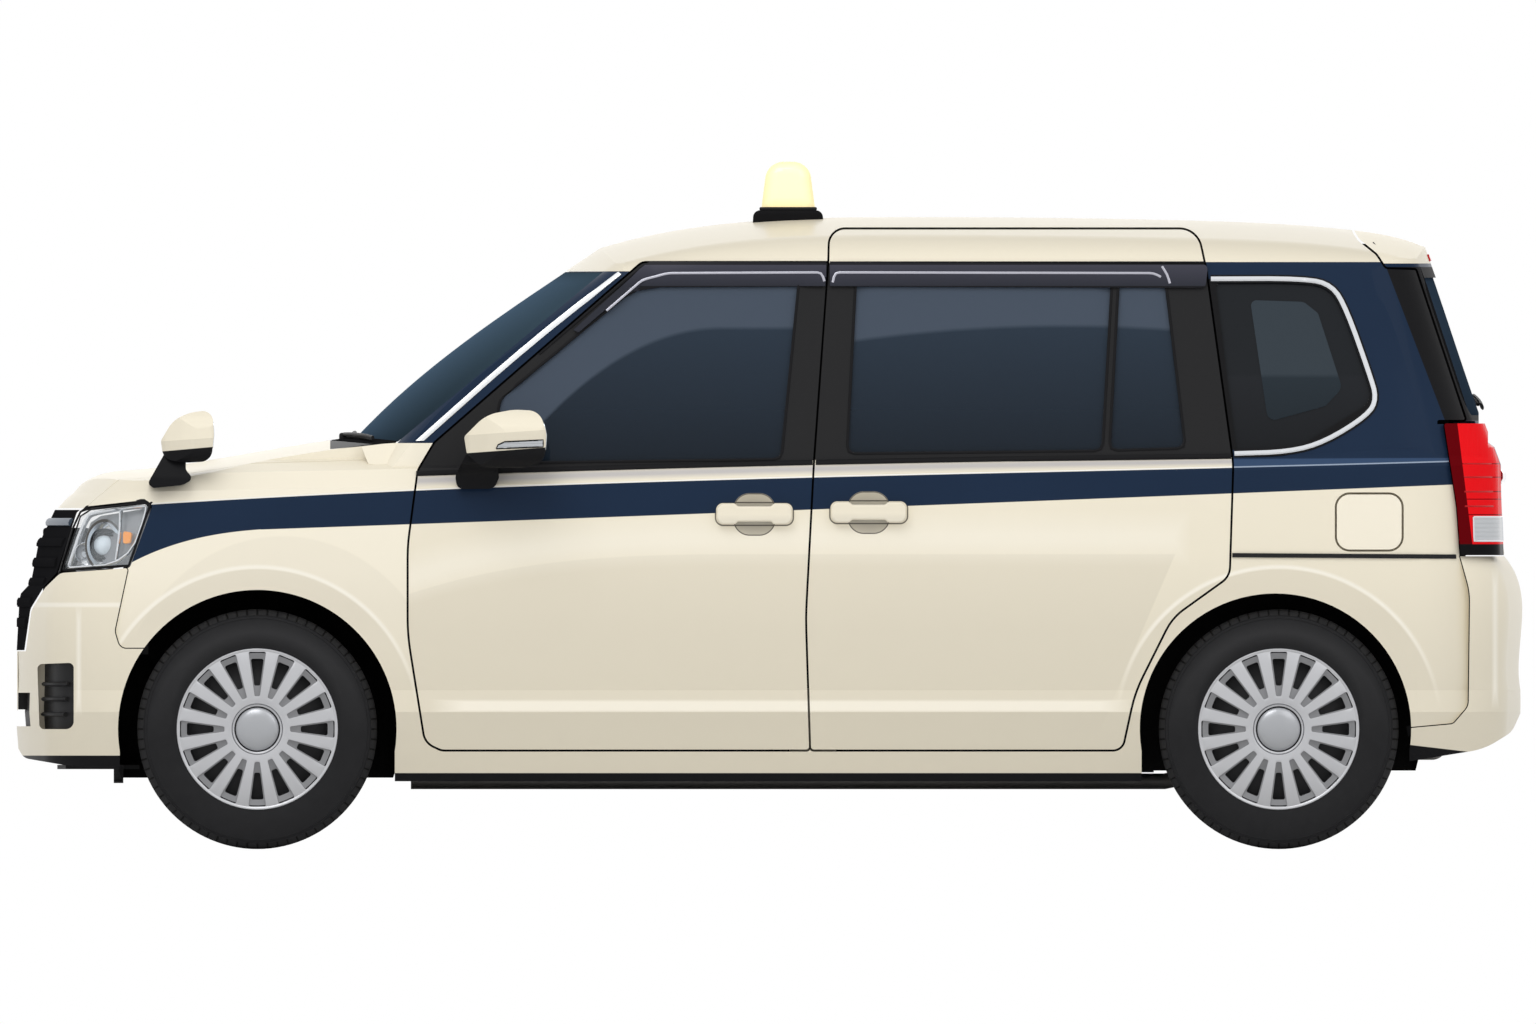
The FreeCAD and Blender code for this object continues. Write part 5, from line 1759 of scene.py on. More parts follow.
@dataclass
class Seals:
    """Black strips that close the shut gaps from behind."""

    shell: Shell
    depth: float = 0.067
    width: float = 0.030
    thick: float = 0.004
    gaps: tuple[tuple[str, Path], ...] = (
        (
            "front_door",
            (
                (-0.115, 0.276), (0.914, 0.276), (0.960, 0.300), (1.009, 0.600), (1.009, 0.850),
                (0.981, 1.060), (0.935, 1.140), (0.645, 1.391), (0.352, 1.644), (-0.166, 1.644),
            ),
        ),
        (
            "sliding_door",
            (
                (-0.115, 0.276), (-0.990, 0.276), (-1.028, 0.440), (-1.132, 0.648),
                (-1.292, 0.763), (-1.303, 1.080), (-1.228, 1.620), (-1.214, 1.690),
            ),
        ),
        (
            "bumper",
            (
                (1.785, 0.800), (1.806, 0.742), (1.823, 0.666), (1.830, 0.605), (1.820, 0.577),
                (1.798, 0.562), (1.735, 0.560),
            ),
        ),
        (
            "tail",
            (
                (-1.932, 0.830), (-1.939, 0.818), (-1.962, 0.736), (-1.965, 0.622),
                (-1.962, 0.440), (-1.949, 0.379), (-1.919, 0.353), (-1.790, 0.330),
            ),
        ),
        ("gate", ((-1.685, 1.690), (-1.735, 1.624), (-1.816, 1.620), (-1.953, 1.201))),
        (
            "lamp",
            ((-1.955, 1.196), (-1.878, 1.195), (-1.894, 1.188), (-1.916, 1.060), (-1.939, 0.828)),
        ),
    )

    def build(self) -> None:
        """Lays a flat bar behind each gap on both sides, inside the skin."""
        for name, path in self.gaps:
            bar = Strip(f"seal_{name}", SEAL, path, self.width, self.thick, sides=4)
            bar.lay(self.shell.behind(self.depth))


@dataclass
class QuarterWindow:
    """The rear side window's bright surround and its clear middle."""

    shell: Shell
    panel: Shell
    width: float = 0.013
    frame: Path = (
        (-1.240, 1.596), (-1.505, 1.597), (-1.580, 1.578), (-1.620, 1.510), (-1.684, 1.330),
        (-1.704, 1.262), (-1.680, 1.215), (-1.560, 1.140), (-1.460, 1.112), (-1.306, 1.107),
    )
    pane: Rows = (
        (-1.350, 1.537, 0.02), (-1.500, 1.532, 0.05), (-1.540, 1.500, 0.03),
        (-1.608, 1.290, 0.05), (-1.560, 1.240, 0.05), (-1.400, 1.196, 0.03),
    )

    def door_edge(self, level: float) -> float:
        """Finds the sliding door's rear edge, where the surround stops.

        Args:
            level: the height.

        Returns:
            How far forward the edge is.
        """
        return -1.236 - max(1.59 - level, 0.0) * 0.135

    def build(self) -> None:
        """Lays the rubber, the bright moulding on it and the pane on both sides."""
        points = spaced(self.frame, 0.03, 2)
        path = tuple(point for point in points if point[0] < self.door_edge(point[1]))
        Strip("quarter_gasket", SEAL, path, self.width + 0.010, 0.008).lay(self.panel.side)
        Strip("quarter_surround", CHROME, path, self.width, 0.010, 0.002).lay(self.panel.side)
        Skin("quarter_pane", QUARTER_GLASS, self.pane, 0.0006, 0.0015, 0.05).lay(self.shell.side)


@dataclass
class RainVisors:
    """Smoked strips over the door windows, with a pale strip along each as a painted highlight."""

    shell: Shell
    thick: float = 0.003
    stand: float = 0.006
    front: Rows = (
        (-0.163, 1.641, 0.004), (-0.163, 1.574, 0.004), (0.300, 1.572, 0.08),
        (0.400, 1.556, 0.05), (0.530, 1.445, 0.0), (0.545, 1.452, 0.0), (0.362, 1.618, 0.05),
        (0.330, 1.641, 0.02),
    )
    rear: Rows = (
        (-0.173, 1.641, 0.004), (-0.173, 1.574, 0.004), (-1.095, 1.570, 0.004),
        (-1.225, 1.570, 0.02), (-1.232, 1.636, 0.02),
    )

    # Pale strips along the visors' creases, as painted highlights: name, bodies and path.
    highlight_lines: tuple[tuple[str, Bodies, Path], ...] = (
        (
            "front",
            DOORS,
            ((-0.158, 1.588), (-0.150, 1.613), (0.280, 1.611), (0.352, 1.592), (0.452, 1.506)),
        ),
        ("rear", CAB, ((-0.181, 1.585), (-0.188, 1.613), (-1.080, 1.611), (-1.100, 1.600))),
        ("short", CAB, ((-1.103, 1.630), (-1.118, 1.606), (-1.125, 1.582))),
    )

    def build(self) -> None:
        """Lays one visor on each door, and its painted highlight strips."""
        side = self.shell.side
        # Painted highlights: a pale strip along each visor's crease.
        for name, bodies, path in self.highlight_lines:
            line = (tuple(eased(path, 0.012)), 0.0065, 0.002, self.stand + self.thick)
            Strip(f"visor_ridge_{name}", VISOR_HIGHLIGHT, *line).lay(side, bodies)
        for name, bodies, rows in (("front", DOORS, self.front), ("rear", CAB, self.rear)):
            Skin(f"rain_visor_{name}", SMOKED, rows, self.stand, self.thick, 0.04).lay(side, bodies)


@dataclass
class WindowRubbers:
    """Thin black rubbers round the side windows, and the drip strip over the doors."""

    shell: Shell
    width: float = 0.0075
    outside: float = 0.004
    windows: tuple[tuple[str, Bodies, Path], ...] = (
        (
            "front",
            DOORS,
            (
                (0.756, 1.085), (0.750, 1.262), (0.398, 1.545),
                (0.300, 1.600), (-0.084, 1.600), (-0.034, 1.095),
            ),
        ),
        ("rear", CAB, ((-0.225, 1.111), (-0.250, 1.600), (-0.960, 1.600), (-0.933, 1.119))),
        ("vent", CAB, ((-0.960, 1.120), (-0.986, 1.600), (-1.108, 1.600), (-1.165, 1.126))),
    )
    drips: tuple[tuple[str, Bodies, Path], ...] = (
        ("front", DOORS, ((0.640, 1.386), (0.366, 1.620), (0.330, 1.6425), (-0.163, 1.6425))),
        ("rear", CAB, ((-0.173, 1.6425), (-1.222, 1.6425))),
    )

    def round_glass(self, outline: Sequence[Pair]) -> Path:
        """Draws a path just outside a window's glass.

        Args:
            outline: the glass's outline.

        Returns:
            The path.
        """
        middle = Vector((sum(x for x, _ in outline), sum(z for _, z in outline))) / len(outline)
        path = []
        for x, z in outline:
            across = math.copysign(self.outside, x - middle.x)
            path.append((x + across, z + math.copysign(self.outside, z - middle.y)))
        return tuple(eased(path, 0.022, True))

    def build(self) -> None:
        """Lays them on both sides."""
        side = self.shell.side
        for name, bodies, outline in self.windows:
            path = self.round_glass(outline)
            Strip(f"window_rubber_{name}", SEAL, path, self.width, 0.005).lay(side, bodies)
        for name, bodies, path in self.drips:
            strip = Strip(f"drip_strip_{name}", SEAL, path, 0.006, 0.004, 0.0008, smooth=1)
            strip.lay(side, bodies)


@dataclass
class RoadWheel:
    """One wheel: tyre, sixteen-spoke cover, rim and brake."""

    corner: str
    centre: Vector
    hand: float
    tyre_radius: float = 0.336
    groove_depth: float = 0.007
    cover_face: float = 0.094
    slots: int = 16
    steps: int = 112
    wall: Path = (
        (0.2075, 0.078), (0.2165, 0.0875), (0.2275, 0.0885), (0.240, 0.0945), (0.262, 0.0990),
        (0.285, 0.0995), (0.3085, 0.0965), (0.3100, 0.0978), (0.3116, 0.0962), (0.3170, 0.0938),
        (0.3182, 0.0950), (0.3196, 0.0924), (0.3275, 0.0830), (0.3325, 0.0715), (0.3350, 0.0620),
        (0.3354, 0.0560),
    )
    grooves: Pair = (0.040, 0.014)
    # Radius, and depth out from the cover's face.
    cover_profile: Path = (
        (0.064, -0.004), (0.069, -0.003), (0.072, 0.001), (0.085, 0.003), (0.130, 0.004),
        (0.175, 0.001), (0.205, -0.003), (0.2185, -0.006), (0.2225, -0.004), (0.2250, -0.004),
        (0.2265, -0.006), (0.2265, -0.014), (0.150, -0.012), (0.064, -0.014),
    )
    # Name, inner radius and half width, outer radius and half width, and depth.
    cuts: tuple[tuple[str, Pair, Pair, float], ...] = (
        ("cover_hollows", (0.092, 0.0072), (0.2165, 0.0248), -0.0095),
        ("cover_slots", (0.122, 0.0080), (0.197, 0.0180), -0.060),
    )
    cap: Path = (
        (0.0001, 0.1065), (0.018, 0.1060), (0.036, 0.1040), (0.050, 0.1005), (0.0575, 0.0965),
        (0.0600, 0.0930), (0.0600, 0.084), (0.0001, 0.084),
    )
    ring: Path = ((0.058, 0.082), (0.066, 0.082), (0.066, 0.088), (0.058, 0.088))
    barrel: Path = (
        (0.2065, 0.080), (0.2065, -0.080), (0.213, -0.088), (0.200, -0.088), (0.194, -0.07),
        (0.194, 0.06),
    )
    disc: Path = (
        (0.03, 0.030), (0.072, 0.034), (0.078, 0.012), (0.142, 0.012), (0.142, -0.008),
        (0.03, -0.008),
    )
    dish: Path = (
        (0.03, 0.066), (0.09, 0.060), (0.195, 0.040), (0.195, 0.034), (0.09, 0.054),
        (0.03, 0.058),
    )

    @property
    def body(self) -> str:
        """The CAD body that the wheel turns with."""
        return f"wheel_{self.corner}"

    @property
    def axis(self) -> Vector:
        """The wheel's centre as if it were on the left."""
        return Vector((self.centre.x, abs(self.centre.y), self.centre.z))

    def finished(self, piece: Piece, finish: Finish, crease: float = 35.0) -> bpy.types.Object:
        """Turns a piece modelled for the left to this wheel's side and finishes it.

        Args:
            piece: the piece.
            finish: its finish.
            crease: the angle, in degrees, above which an edge stays sharp.

        Returns:
            The object.
        """
        if self.hand < 0.0:
            piece.flip()
        return piece.made(self.body, finish, crease)

    def tyre(self) -> None:
        """Turns the tyre's section round the axle."""
        half = list(self.wall)
        for groove in self.grooves:
            floor = self.tyre_radius - self.groove_depth
            half += [(self.tyre_radius, groove + 0.0050), (floor, groove + 0.0035)]
            half += [(floor, groove - 0.0035), (self.tyre_radius, groove - 0.0050)]
        profile = half + [(radius, -across) for radius, across in reversed(half)]
        piece = Piece(f"tyre_dressed_{self.corner}").lathe(self.axis, profile, self.steps)
        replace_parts(self.finished(piece, TYRE, 30.0), f"tyre_{self.corner}")

    def slot_tool(self, name: str, inner: Pair, outer: Pair, depth: float) -> bpy.types.Object:
        """Tapered cutters, one for each gap between spokes.

        Args:
            name: the tool's name.
            inner: its inner radius and half width.
            outer: its outer radius and half width.
            depth: where it stops, out from the cover's face.

        Returns:
            The cutters as one object.
        """
        piece = Piece(name)
        axis = self.axis
        corners = ((-1.0, inner), (1.0, inner), (1.0, outer), (-1.0, outer))
        rows = [(axis.x + hand * half, axis.z + radius, 0.007) for hand, (radius, half) in corners]
        piece.slab(rows, axis.y + self.cover_face + depth, axis.y + 0.2)
        gaps = self.slots - 1
        angle = 2.0 * math.pi * gaps / self.slots
        piece.spin(piece.everything(), axis, angle, gaps, use_duplicate=True)
        bmesh.ops.recalc_face_normals(piece.bm, faces=piece.bm.faces)
        return piece.linked()

    def cover(self) -> None:
        """Turns the cover's disc, then cuts the hollows and slots between its spokes."""
        profile = [(radius, self.cover_face + depth) for radius, depth in self.cover_profile]
        blank = Piece("cover_disc").lathe(self.axis, profile, self.steps)
        blank.joined()
        disc = blank.linked()
        tools = [self.slot_tool(*cut) for cut in self.cuts]
        for tool in tools:
            cut = disc.modifiers.new(tool.name, "BOOLEAN")
            cut.object = tool
            cut.operation = "DIFFERENCE"
            cut.solver = "EXACT"
        ease = disc.modifiers.new("eased", "BEVEL")
        ease.width = 0.0016
        ease.segments = 2
        ease.limit_method = "ANGLE"
        ease.angle_limit = math.radians(50.0)
        graph = bpy.context.evaluated_depsgraph_get()
        result = Piece(f"wheel_cover_{self.corner}")
        result.bm.from_mesh(bpy.data.meshes.new_from_object(disc.evaluated_get(graph)))
        for spent in (disc, *tools):
            bpy.data.objects.remove(spent)
        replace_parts(self.finished(result, WHEEL_SILVER, 28.0), self.body)

    def build(self) -> None:
        """Makes the wheel's pieces."""
        self.tyre()
        self.cover()
        rows = (
            ("hub_cap", self.cap, 64, HUB_METAL),
            ("hub_groove", self.ring, 48, TRIM),
            ("rim", self.barrel, 72, STEEL),
            ("brake_disc", self.disc, 72, IRON),
            ("wheel_dish", self.dish, 72, STEEL),
        )
        for name, profile, steps, finish in rows:
            self.finished(Piece(f"{name}_{self.corner}").lathe(self.axis, profile, steps), finish)


@dataclass(frozen=True)
class WheelLiner(Trim):
    """A tube round a tyre with a ring on its inner side, open at the bottom."""

    radius: float
    wall: float
    mouth: float
    foot: float
    eye: float = 0.300
    thick: float = 0.003

    def shaped(self, piece: Piece, place: Place) -> Piece:
        """Turns it about a place that doesn't move.

        Args:
            piece: the piece to model in.
            place: gives the centre, whatever it is asked.

        Returns:
            The piece.
        """
        centre = place(0.0, 0.0)[0]
        radius, inner, outer = self.radius, self.wall - centre.y, self.mouth - centre.y
        profile = [(radius, outer), (radius, inner + self.thick), (self.eye, inner + self.thick)]
        profile += [(self.eye, inner), (radius + 0.0025, inner), (radius + 0.0025, outer)]
        piece.lathe(centre, profile, 64)
        bmesh.ops.remove_doubles(piece.bm, verts=piece.bm.verts, dist=MERGE)
        return piece.trimmed(self.foot)


@dataclass
class RunningGear:
    """The four wheels and the liners over them."""

    # End, and the liner's radius, inner wall, mouth and foot.
    liners: tuple[tuple[str, float, float, float, float], ...] = (
        ("front", 0.402, 0.415, 0.755, 0.20),
        ("rear", 0.398, 0.585, 0.740, 0.22),
    )

    def build(self) -> None:
        """Makes a wheel at each corner, then hangs a liner over each tyre."""
        middles = {}
        for end, *_ in self.liners:
            for side, hand in (("left", LEFT), ("right", RIGHT)):
                low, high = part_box(f"tyre_{end}_{side}")
                middles.setdefault(end, (low + high) / 2.0)
                RoadWheel(f"{end}_{side}", (low + high) / 2.0, hand).build()
        for end, *sizes in self.liners:
            spot = (middles[end], FACE_LEFT)
            WheelLiner(f"{end}_wheelhouse_liner", LINER, *sizes).lay(lambda x, z: spot)


@dataclass
class HeadLamps:
    """Clear lenses over a dark housing, a chrome bezel, a projector and an amber bulb."""

    shell: Shell
    depth: float = 0.034
    window: Rows = (
        (1.975, 0.781, 0.010), (1.925, 0.932, 0.020), (1.895, 0.952, 0.020),
        (1.744, 0.969, 0.012), (1.731, 0.960, 0.010), (1.790, 0.794, 0.012),
    )
    brow: Path = ((1.984, 0.774), (1.934, 0.938), (1.898, 0.961), (1.742, 0.977), (1.727, 0.966))
    web: Path = ((1.822, 0.962), (1.820, 0.900), (1.833, 0.800))
    bulb: Rows = (
        (1.812, 0.894, 0.008), (1.787, 0.889, 0.008), (1.790, 0.860, 0.008),
        (1.811, 0.857, 0.008),
    )
    low_beam: Pair = (1.880, 0.858)
    high_beam: Pair = (1.936, 0.836)
    oval: Triple = (0.82, 1.0, 1.12)
    bowl: Path = (
        (0.058, 0.024), (0.060, 0.026), (0.062, 0.024), (0.052, 0.006), (0.030, -0.004),
        (0.028, 0.000), (0.048, 0.010),
    )
    ball: Path = ((0.0001, 0.020), (0.014, 0.017), (0.024, 0.009), (0.028, 0.000), (0.0001, -0.002))
    collar: Path = ((0.029, 0.004), (0.036, 0.012), (0.040, 0.010), (0.031, -0.002))
    ring: Path = ((0.059, 0.027), (0.065, 0.028), (0.066, 0.023), (0.060, 0.020))
    small_bowl: Path = (
        (0.030, 0.016), (0.032, 0.017), (0.033, 0.014), (0.018, 0.000), (0.0001, -0.002),
        (0.0001, 0.001), (0.016, 0.003),
    )

    def inset(self, x: float, z: float) -> Spot:
        """Finds a place on the housing, set in behind the lens.

        Args:
            x: how far forward.
            z: how high.

        Returns:
            The point and the outward direction there.
        """
        point, normal = self.shell.side(x, z)
        return point - normal * self.depth, normal

    def shrunk(self) -> Path:
        """Draws the window's outline a little towards its middle.

        Returns:
            The path.
        """
        middle = Vector((sum(row[0] for row in self.window), sum(row[1] for row in self.window)))
        middle /= len(self.window)
        return tuple(tuple(Vector(point).lerp(middle, 0.07)) for point in closed(self.window))

    def build(self) -> None:
        """Makes the lens, the housing and what shows in it on both sides."""
        side = self.shell.side
        set_in = -self.depth - 0.004
        Skin("headlamp_housing", LAMP_HOUSING, self.window, set_in, 0.004, 0.03).lay(side)
        edge = Strip("edge", SEAL, closed(self.window), 0.007, 0.004, step=0.02)
        brow = Strip("brow", SEAL, self.brow, 0.013, 0.005, 0.0005, 0.02, 1)
        Bundle("headlamp_gasket", SEAL, (edge, brow)).lay(side)
        Strip("headlamp_bezel", CHROME, self.shrunk(), 0.009, 0.014, -0.010, 0.02, 2).lay(side)
        for turned in (
            Turned("headlamp_bowl", CHROME, self.low_beam, 48, self.bowl, self.oval),
            Turned("headlamp_projector", PROJECTOR_GLASS, self.low_beam, 32, self.ball),
            Turned("headlamp_collar", TRIM, self.low_beam, 32, self.collar),
            Turned("headlamp_ring", IRON, self.low_beam, 48, self.ring, self.oval),
            Turned("headlamp_high_beam", CHROME, self.high_beam, 32, self.small_bowl),
        ):
            turned.lay(self.inset)
        Skin("headlamp_turn", AMBER_LENS, self.bulb, -0.026, 0.012).lay(side)
        Strip("headlamp_divider", CHROME, self.web, 0.010, 0.016, -0.018, 0.02, 1).lay(side)
        left, _ = Skin("headlamp_lens", CLEAR_LENS, self.window, -0.004, 0.004, 0.03).lay(side)
        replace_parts(left, "headlamps")


@dataclass
class TailLamps:
    """Moulded lines and a clear reversing lamp on the red lenses."""

    shell: Shell
    reversing: Rows = (
        (0.160, 0.930, 0.006), (0.372, 0.930, 0.006), (0.372, 0.863, 0.006),
        (0.160, 0.863, 0.006),
    )
    ribs: tuple[float, ...] = (1.079, 1.0416, 1.001, 0.960)

    def build(self) -> None:
        """Makes what stands proud of the lamps' red bodies."""
        corner = self.shell.corner
        Skin("reversing_lamp", PALE_LENS, self.reversing, 0.0004, 0.0018).lay(corner)
        edge = closed(self.reversing)
        Strip("reversing_lamp_edge", CHROME, edge, 0.005, 0.005, 0.001, 0.015).lay(corner)
        for number, level in enumerate(self.ribs, start=1):
            line = ((0.135, level), (0.25, level))
            rib = Strip(f"tail_lamp_rib_{number}", RED_LENS, line, 0.0045, 0.004, -0.0004, 0.015)
            rib.lay(corner)


@dataclass
class Mirrors:
    """Glass and turn lenses on the door and fender mirrors."""

    shell: Shell
    lens: Rows = (
        (0.760, 1.1215, 0.003), (0.755, 1.1320, 0.004), (0.737, 1.1405, 0.006),
        (0.630, 1.1455, 0.004), (0.630, 1.1265, 0.004),
    )
    door_glass: Rows = (
        (0.886, 1.198, 0.02), (1.010, 1.194, 0.02), (1.014, 1.118, 0.02), (0.886, 1.112, 0.02),
    )
    fender_glass: Rows = (
        (0.738, 1.196, 0.02), (0.846, 1.198, 0.02), (0.848, 1.124, 0.02), (0.738, 1.122, 0.02),
    )

    def behind(self, y: float, z: float) -> Spot:
        """A place on the mirrors' rear faces."""
        return self.shell.end(y, z, -1.0)

    def build(self) -> None:
        """Makes the mirrors' fittings."""
        side = self.shell.side
        edge = (closed(self.lens), 0.004, 0.004, 0.0012, 0.015)
        Strip("door_mirror_repeater_edge", SEAL, *edge).lay(side, DOORS)
        glass = Skin("door_mirror_glass", MIRROR_GLASS, self.door_glass, 0.0002, 0.0012)
        glass.lay(self.behind, DOORS)
        Skin("door_mirror_repeater", REPEATER, self.lens, 0.0002, 0.0022).lay(side, DOORS)
        glass = Skin("fender_mirror_glass", MIRROR_GLASS, self.fender_glass, 0.0002, 0.0012)
        glass.lay(self.behind)


@dataclass
class Nose:
    """Slats, strips and blades on the grille and bumper."""

    grille: Shell
    inserts: Shell
    slats: int = 5
    top: float = 0.915
    step: float = 0.056
    vents: Triple = (0.462, 0.420, 0.378)
    vent_ends: Pair = (0.515, 0.691)

    def bar(self, name: str, level: float, short: float, size: Pair, finish: Finish) -> None:
        """A bar across the grille.

        Args:
            name: its name.
            level: its height.
            short: how far it stops short of the grille's edge.
            size: its width and its depth.
            finish: its finish.
        """
        half = self.grille.spread(level) - short
        stations = self.grille.crossing(1.0, (-half, level), (half, level), 24, 0.002)
        Piece(name).sweep(stations, *size).made("body", finish)

    def build(self) -> None:
        """Makes the grille's and bumper's fittings."""
        for number in range(1, self.slats + 1):
            level = self.top - self.step * number
            self.bar(f"grille_slat_{number}", level, 0.03, (0.026, 0.010), GLOSS_BLACK)
        self.bar("grille_top_strip", self.top, 0.02, (0.022, 0.014), DARK_CHROME)
        for number, level in enumerate(self.vents, start=1):
            path = tuple((y, level) for y in self.vent_ends)
            blade = Strip(f"vent_blade_{number}", TRIM, path, 0.012, 0.018, 0.003, 0.0225)
            blade.lay(lambda y, z: self.inserts.end(y, z, 1.0))


@dataclass
class Wiper:
    """One wiper: an arm that narrows towards its tip, with a blade under it."""

    arm: str
    blade: str
    body: str
    width: float
    root: float
    drop: float

    def build(self, stations: list[Spot]) -> None:
        """Makes it.

        Args:
            stations: points and directions from its pivot to its tip.
        """
        arm = Piece(self.arm)
        arm.sweep(stations, self.width, 0.010, taper=lambda share: self.root - 0.6 * share)
        arm.made(self.body, TRIM)
        under = [(point - normal * self.drop, normal) for point, normal in stations[1:]]
        Piece(self.blade).sweep(under, 0.008, 0.010, 6).made(self.body, SEAL)


@dataclass
class Wipers:
    """Two wipers parked at the foot of the screen."""

    shell: Shell
    hub: float = 0.016
    # Pivot and tip, each as x and y.
    parked: tuple[Path, ...] = (((1.165, -0.42), (1.148, 0.14)), ((1.185, 0.14), (1.105, 0.60)))
    shares: tuple[float, ...] = (0.0, 0.12, 0.3, 0.55, 0.8, 1.0)

    def build(self) -> None:
        """Makes the wipers."""
        for number, (pivot, tip) in enumerate(self.parked, start=1):
            points = [tuple(Vector(pivot).lerp(Vector(tip), share)) for share in self.shares]
            stations = laid(points, self.shell.top, 0.012)
            names = (f"wiper_arm_{number}", f"wiper_blade_{number}")
            Wiper(*names, "body", 0.014, 1.2, 0.006).build(stations)
            point, _ = self.shell.top(*pivot)
            low = point - Vector((self.hub, self.hub, 0.01))
            high = point + Vector((self.hub, self.hub, self.hub))
            boxed(f"wiper_hub_{number}", low, high, TRIM, 0.007, 3)


@dataclass
class RoofLamp:
    """The lit roof lamp's foot ring."""

    margin: float = 0.004

    def build(self) -> None:
        """Makes the gasket under the dome."""
        low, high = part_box("roof_lamp_dome")
        start = (low.x - self.margin, low.y - self.margin, low.z - 0.001)
        stop = (high.x + self.margin, high.y + self.margin, low.z + 0.009)
        boxed("roof_lamp_gasket", start, stop, TRIM, 0.004, 3)


@dataclass
class Tail:
    """What the tailgate carries: garnish, stop lamp and wiper."""

    shell: Shell

    def build(self) -> None:
        """Makes the tailgate's fittings."""
        bar = self.shell.crossing(-1.0, (-0.30, 1.045), (0.30, 1.045), 12, 0.004)
        Piece("tailgate_garnish").sweep(bar, 0.034, 0.020).made("tailgate", CHROME)
        lamp = self.shell.crossing(-1.0, (-0.14, 1.655), (0.14, 1.655), 8, 0.001)
        Piece("high_stop_lamp").sweep(lamp, 0.020, 0.008, 4).made("tailgate", RED_LENS)
        stations = self.shell.crossing(-1.0, (0.02, 1.235), (-0.34, 1.265), 4, 0.014)
        Wiper("rear_wiper_arm", "rear_wiper_blade", "tailgate", 0.016, 1.25, 0.008).build(stations)


@dataclass(frozen=True)
class Pad:
    """The block that a seat pad is stuffed from, and how it leans."""

    name: str
    x: Pair
    half: float
    z: Pair
    lean: float
    pivot: Pair
    rounding: float

    def piece(self, side: str, middle: float) -> Piece:
        """Models it, leaning back about its pivot's x and z.

        Args:
            side: left or right, for its name.
            middle: the y of its middle.

        Returns:
            The piece.
        """
        piece = Piece(self.name.format(side))
        low = (self.x[0], middle - self.half, self.z[0])
        piece.box(low, (self.x[1], middle + self.half, self.z[1]), self.rounding, 4)
        about = Vector((self.pivot[0], 0.0, self.pivot[1]))
        turn = Matrix.Rotation(math.radians(-self.lean), 4, "Y")
        matrix = Matrix.Translation(about) @ turn @ Matrix.Translation(-about)
        bmesh.ops.transform(piece.bm, matrix=matrix, verts=piece.bm.verts)
        return piece


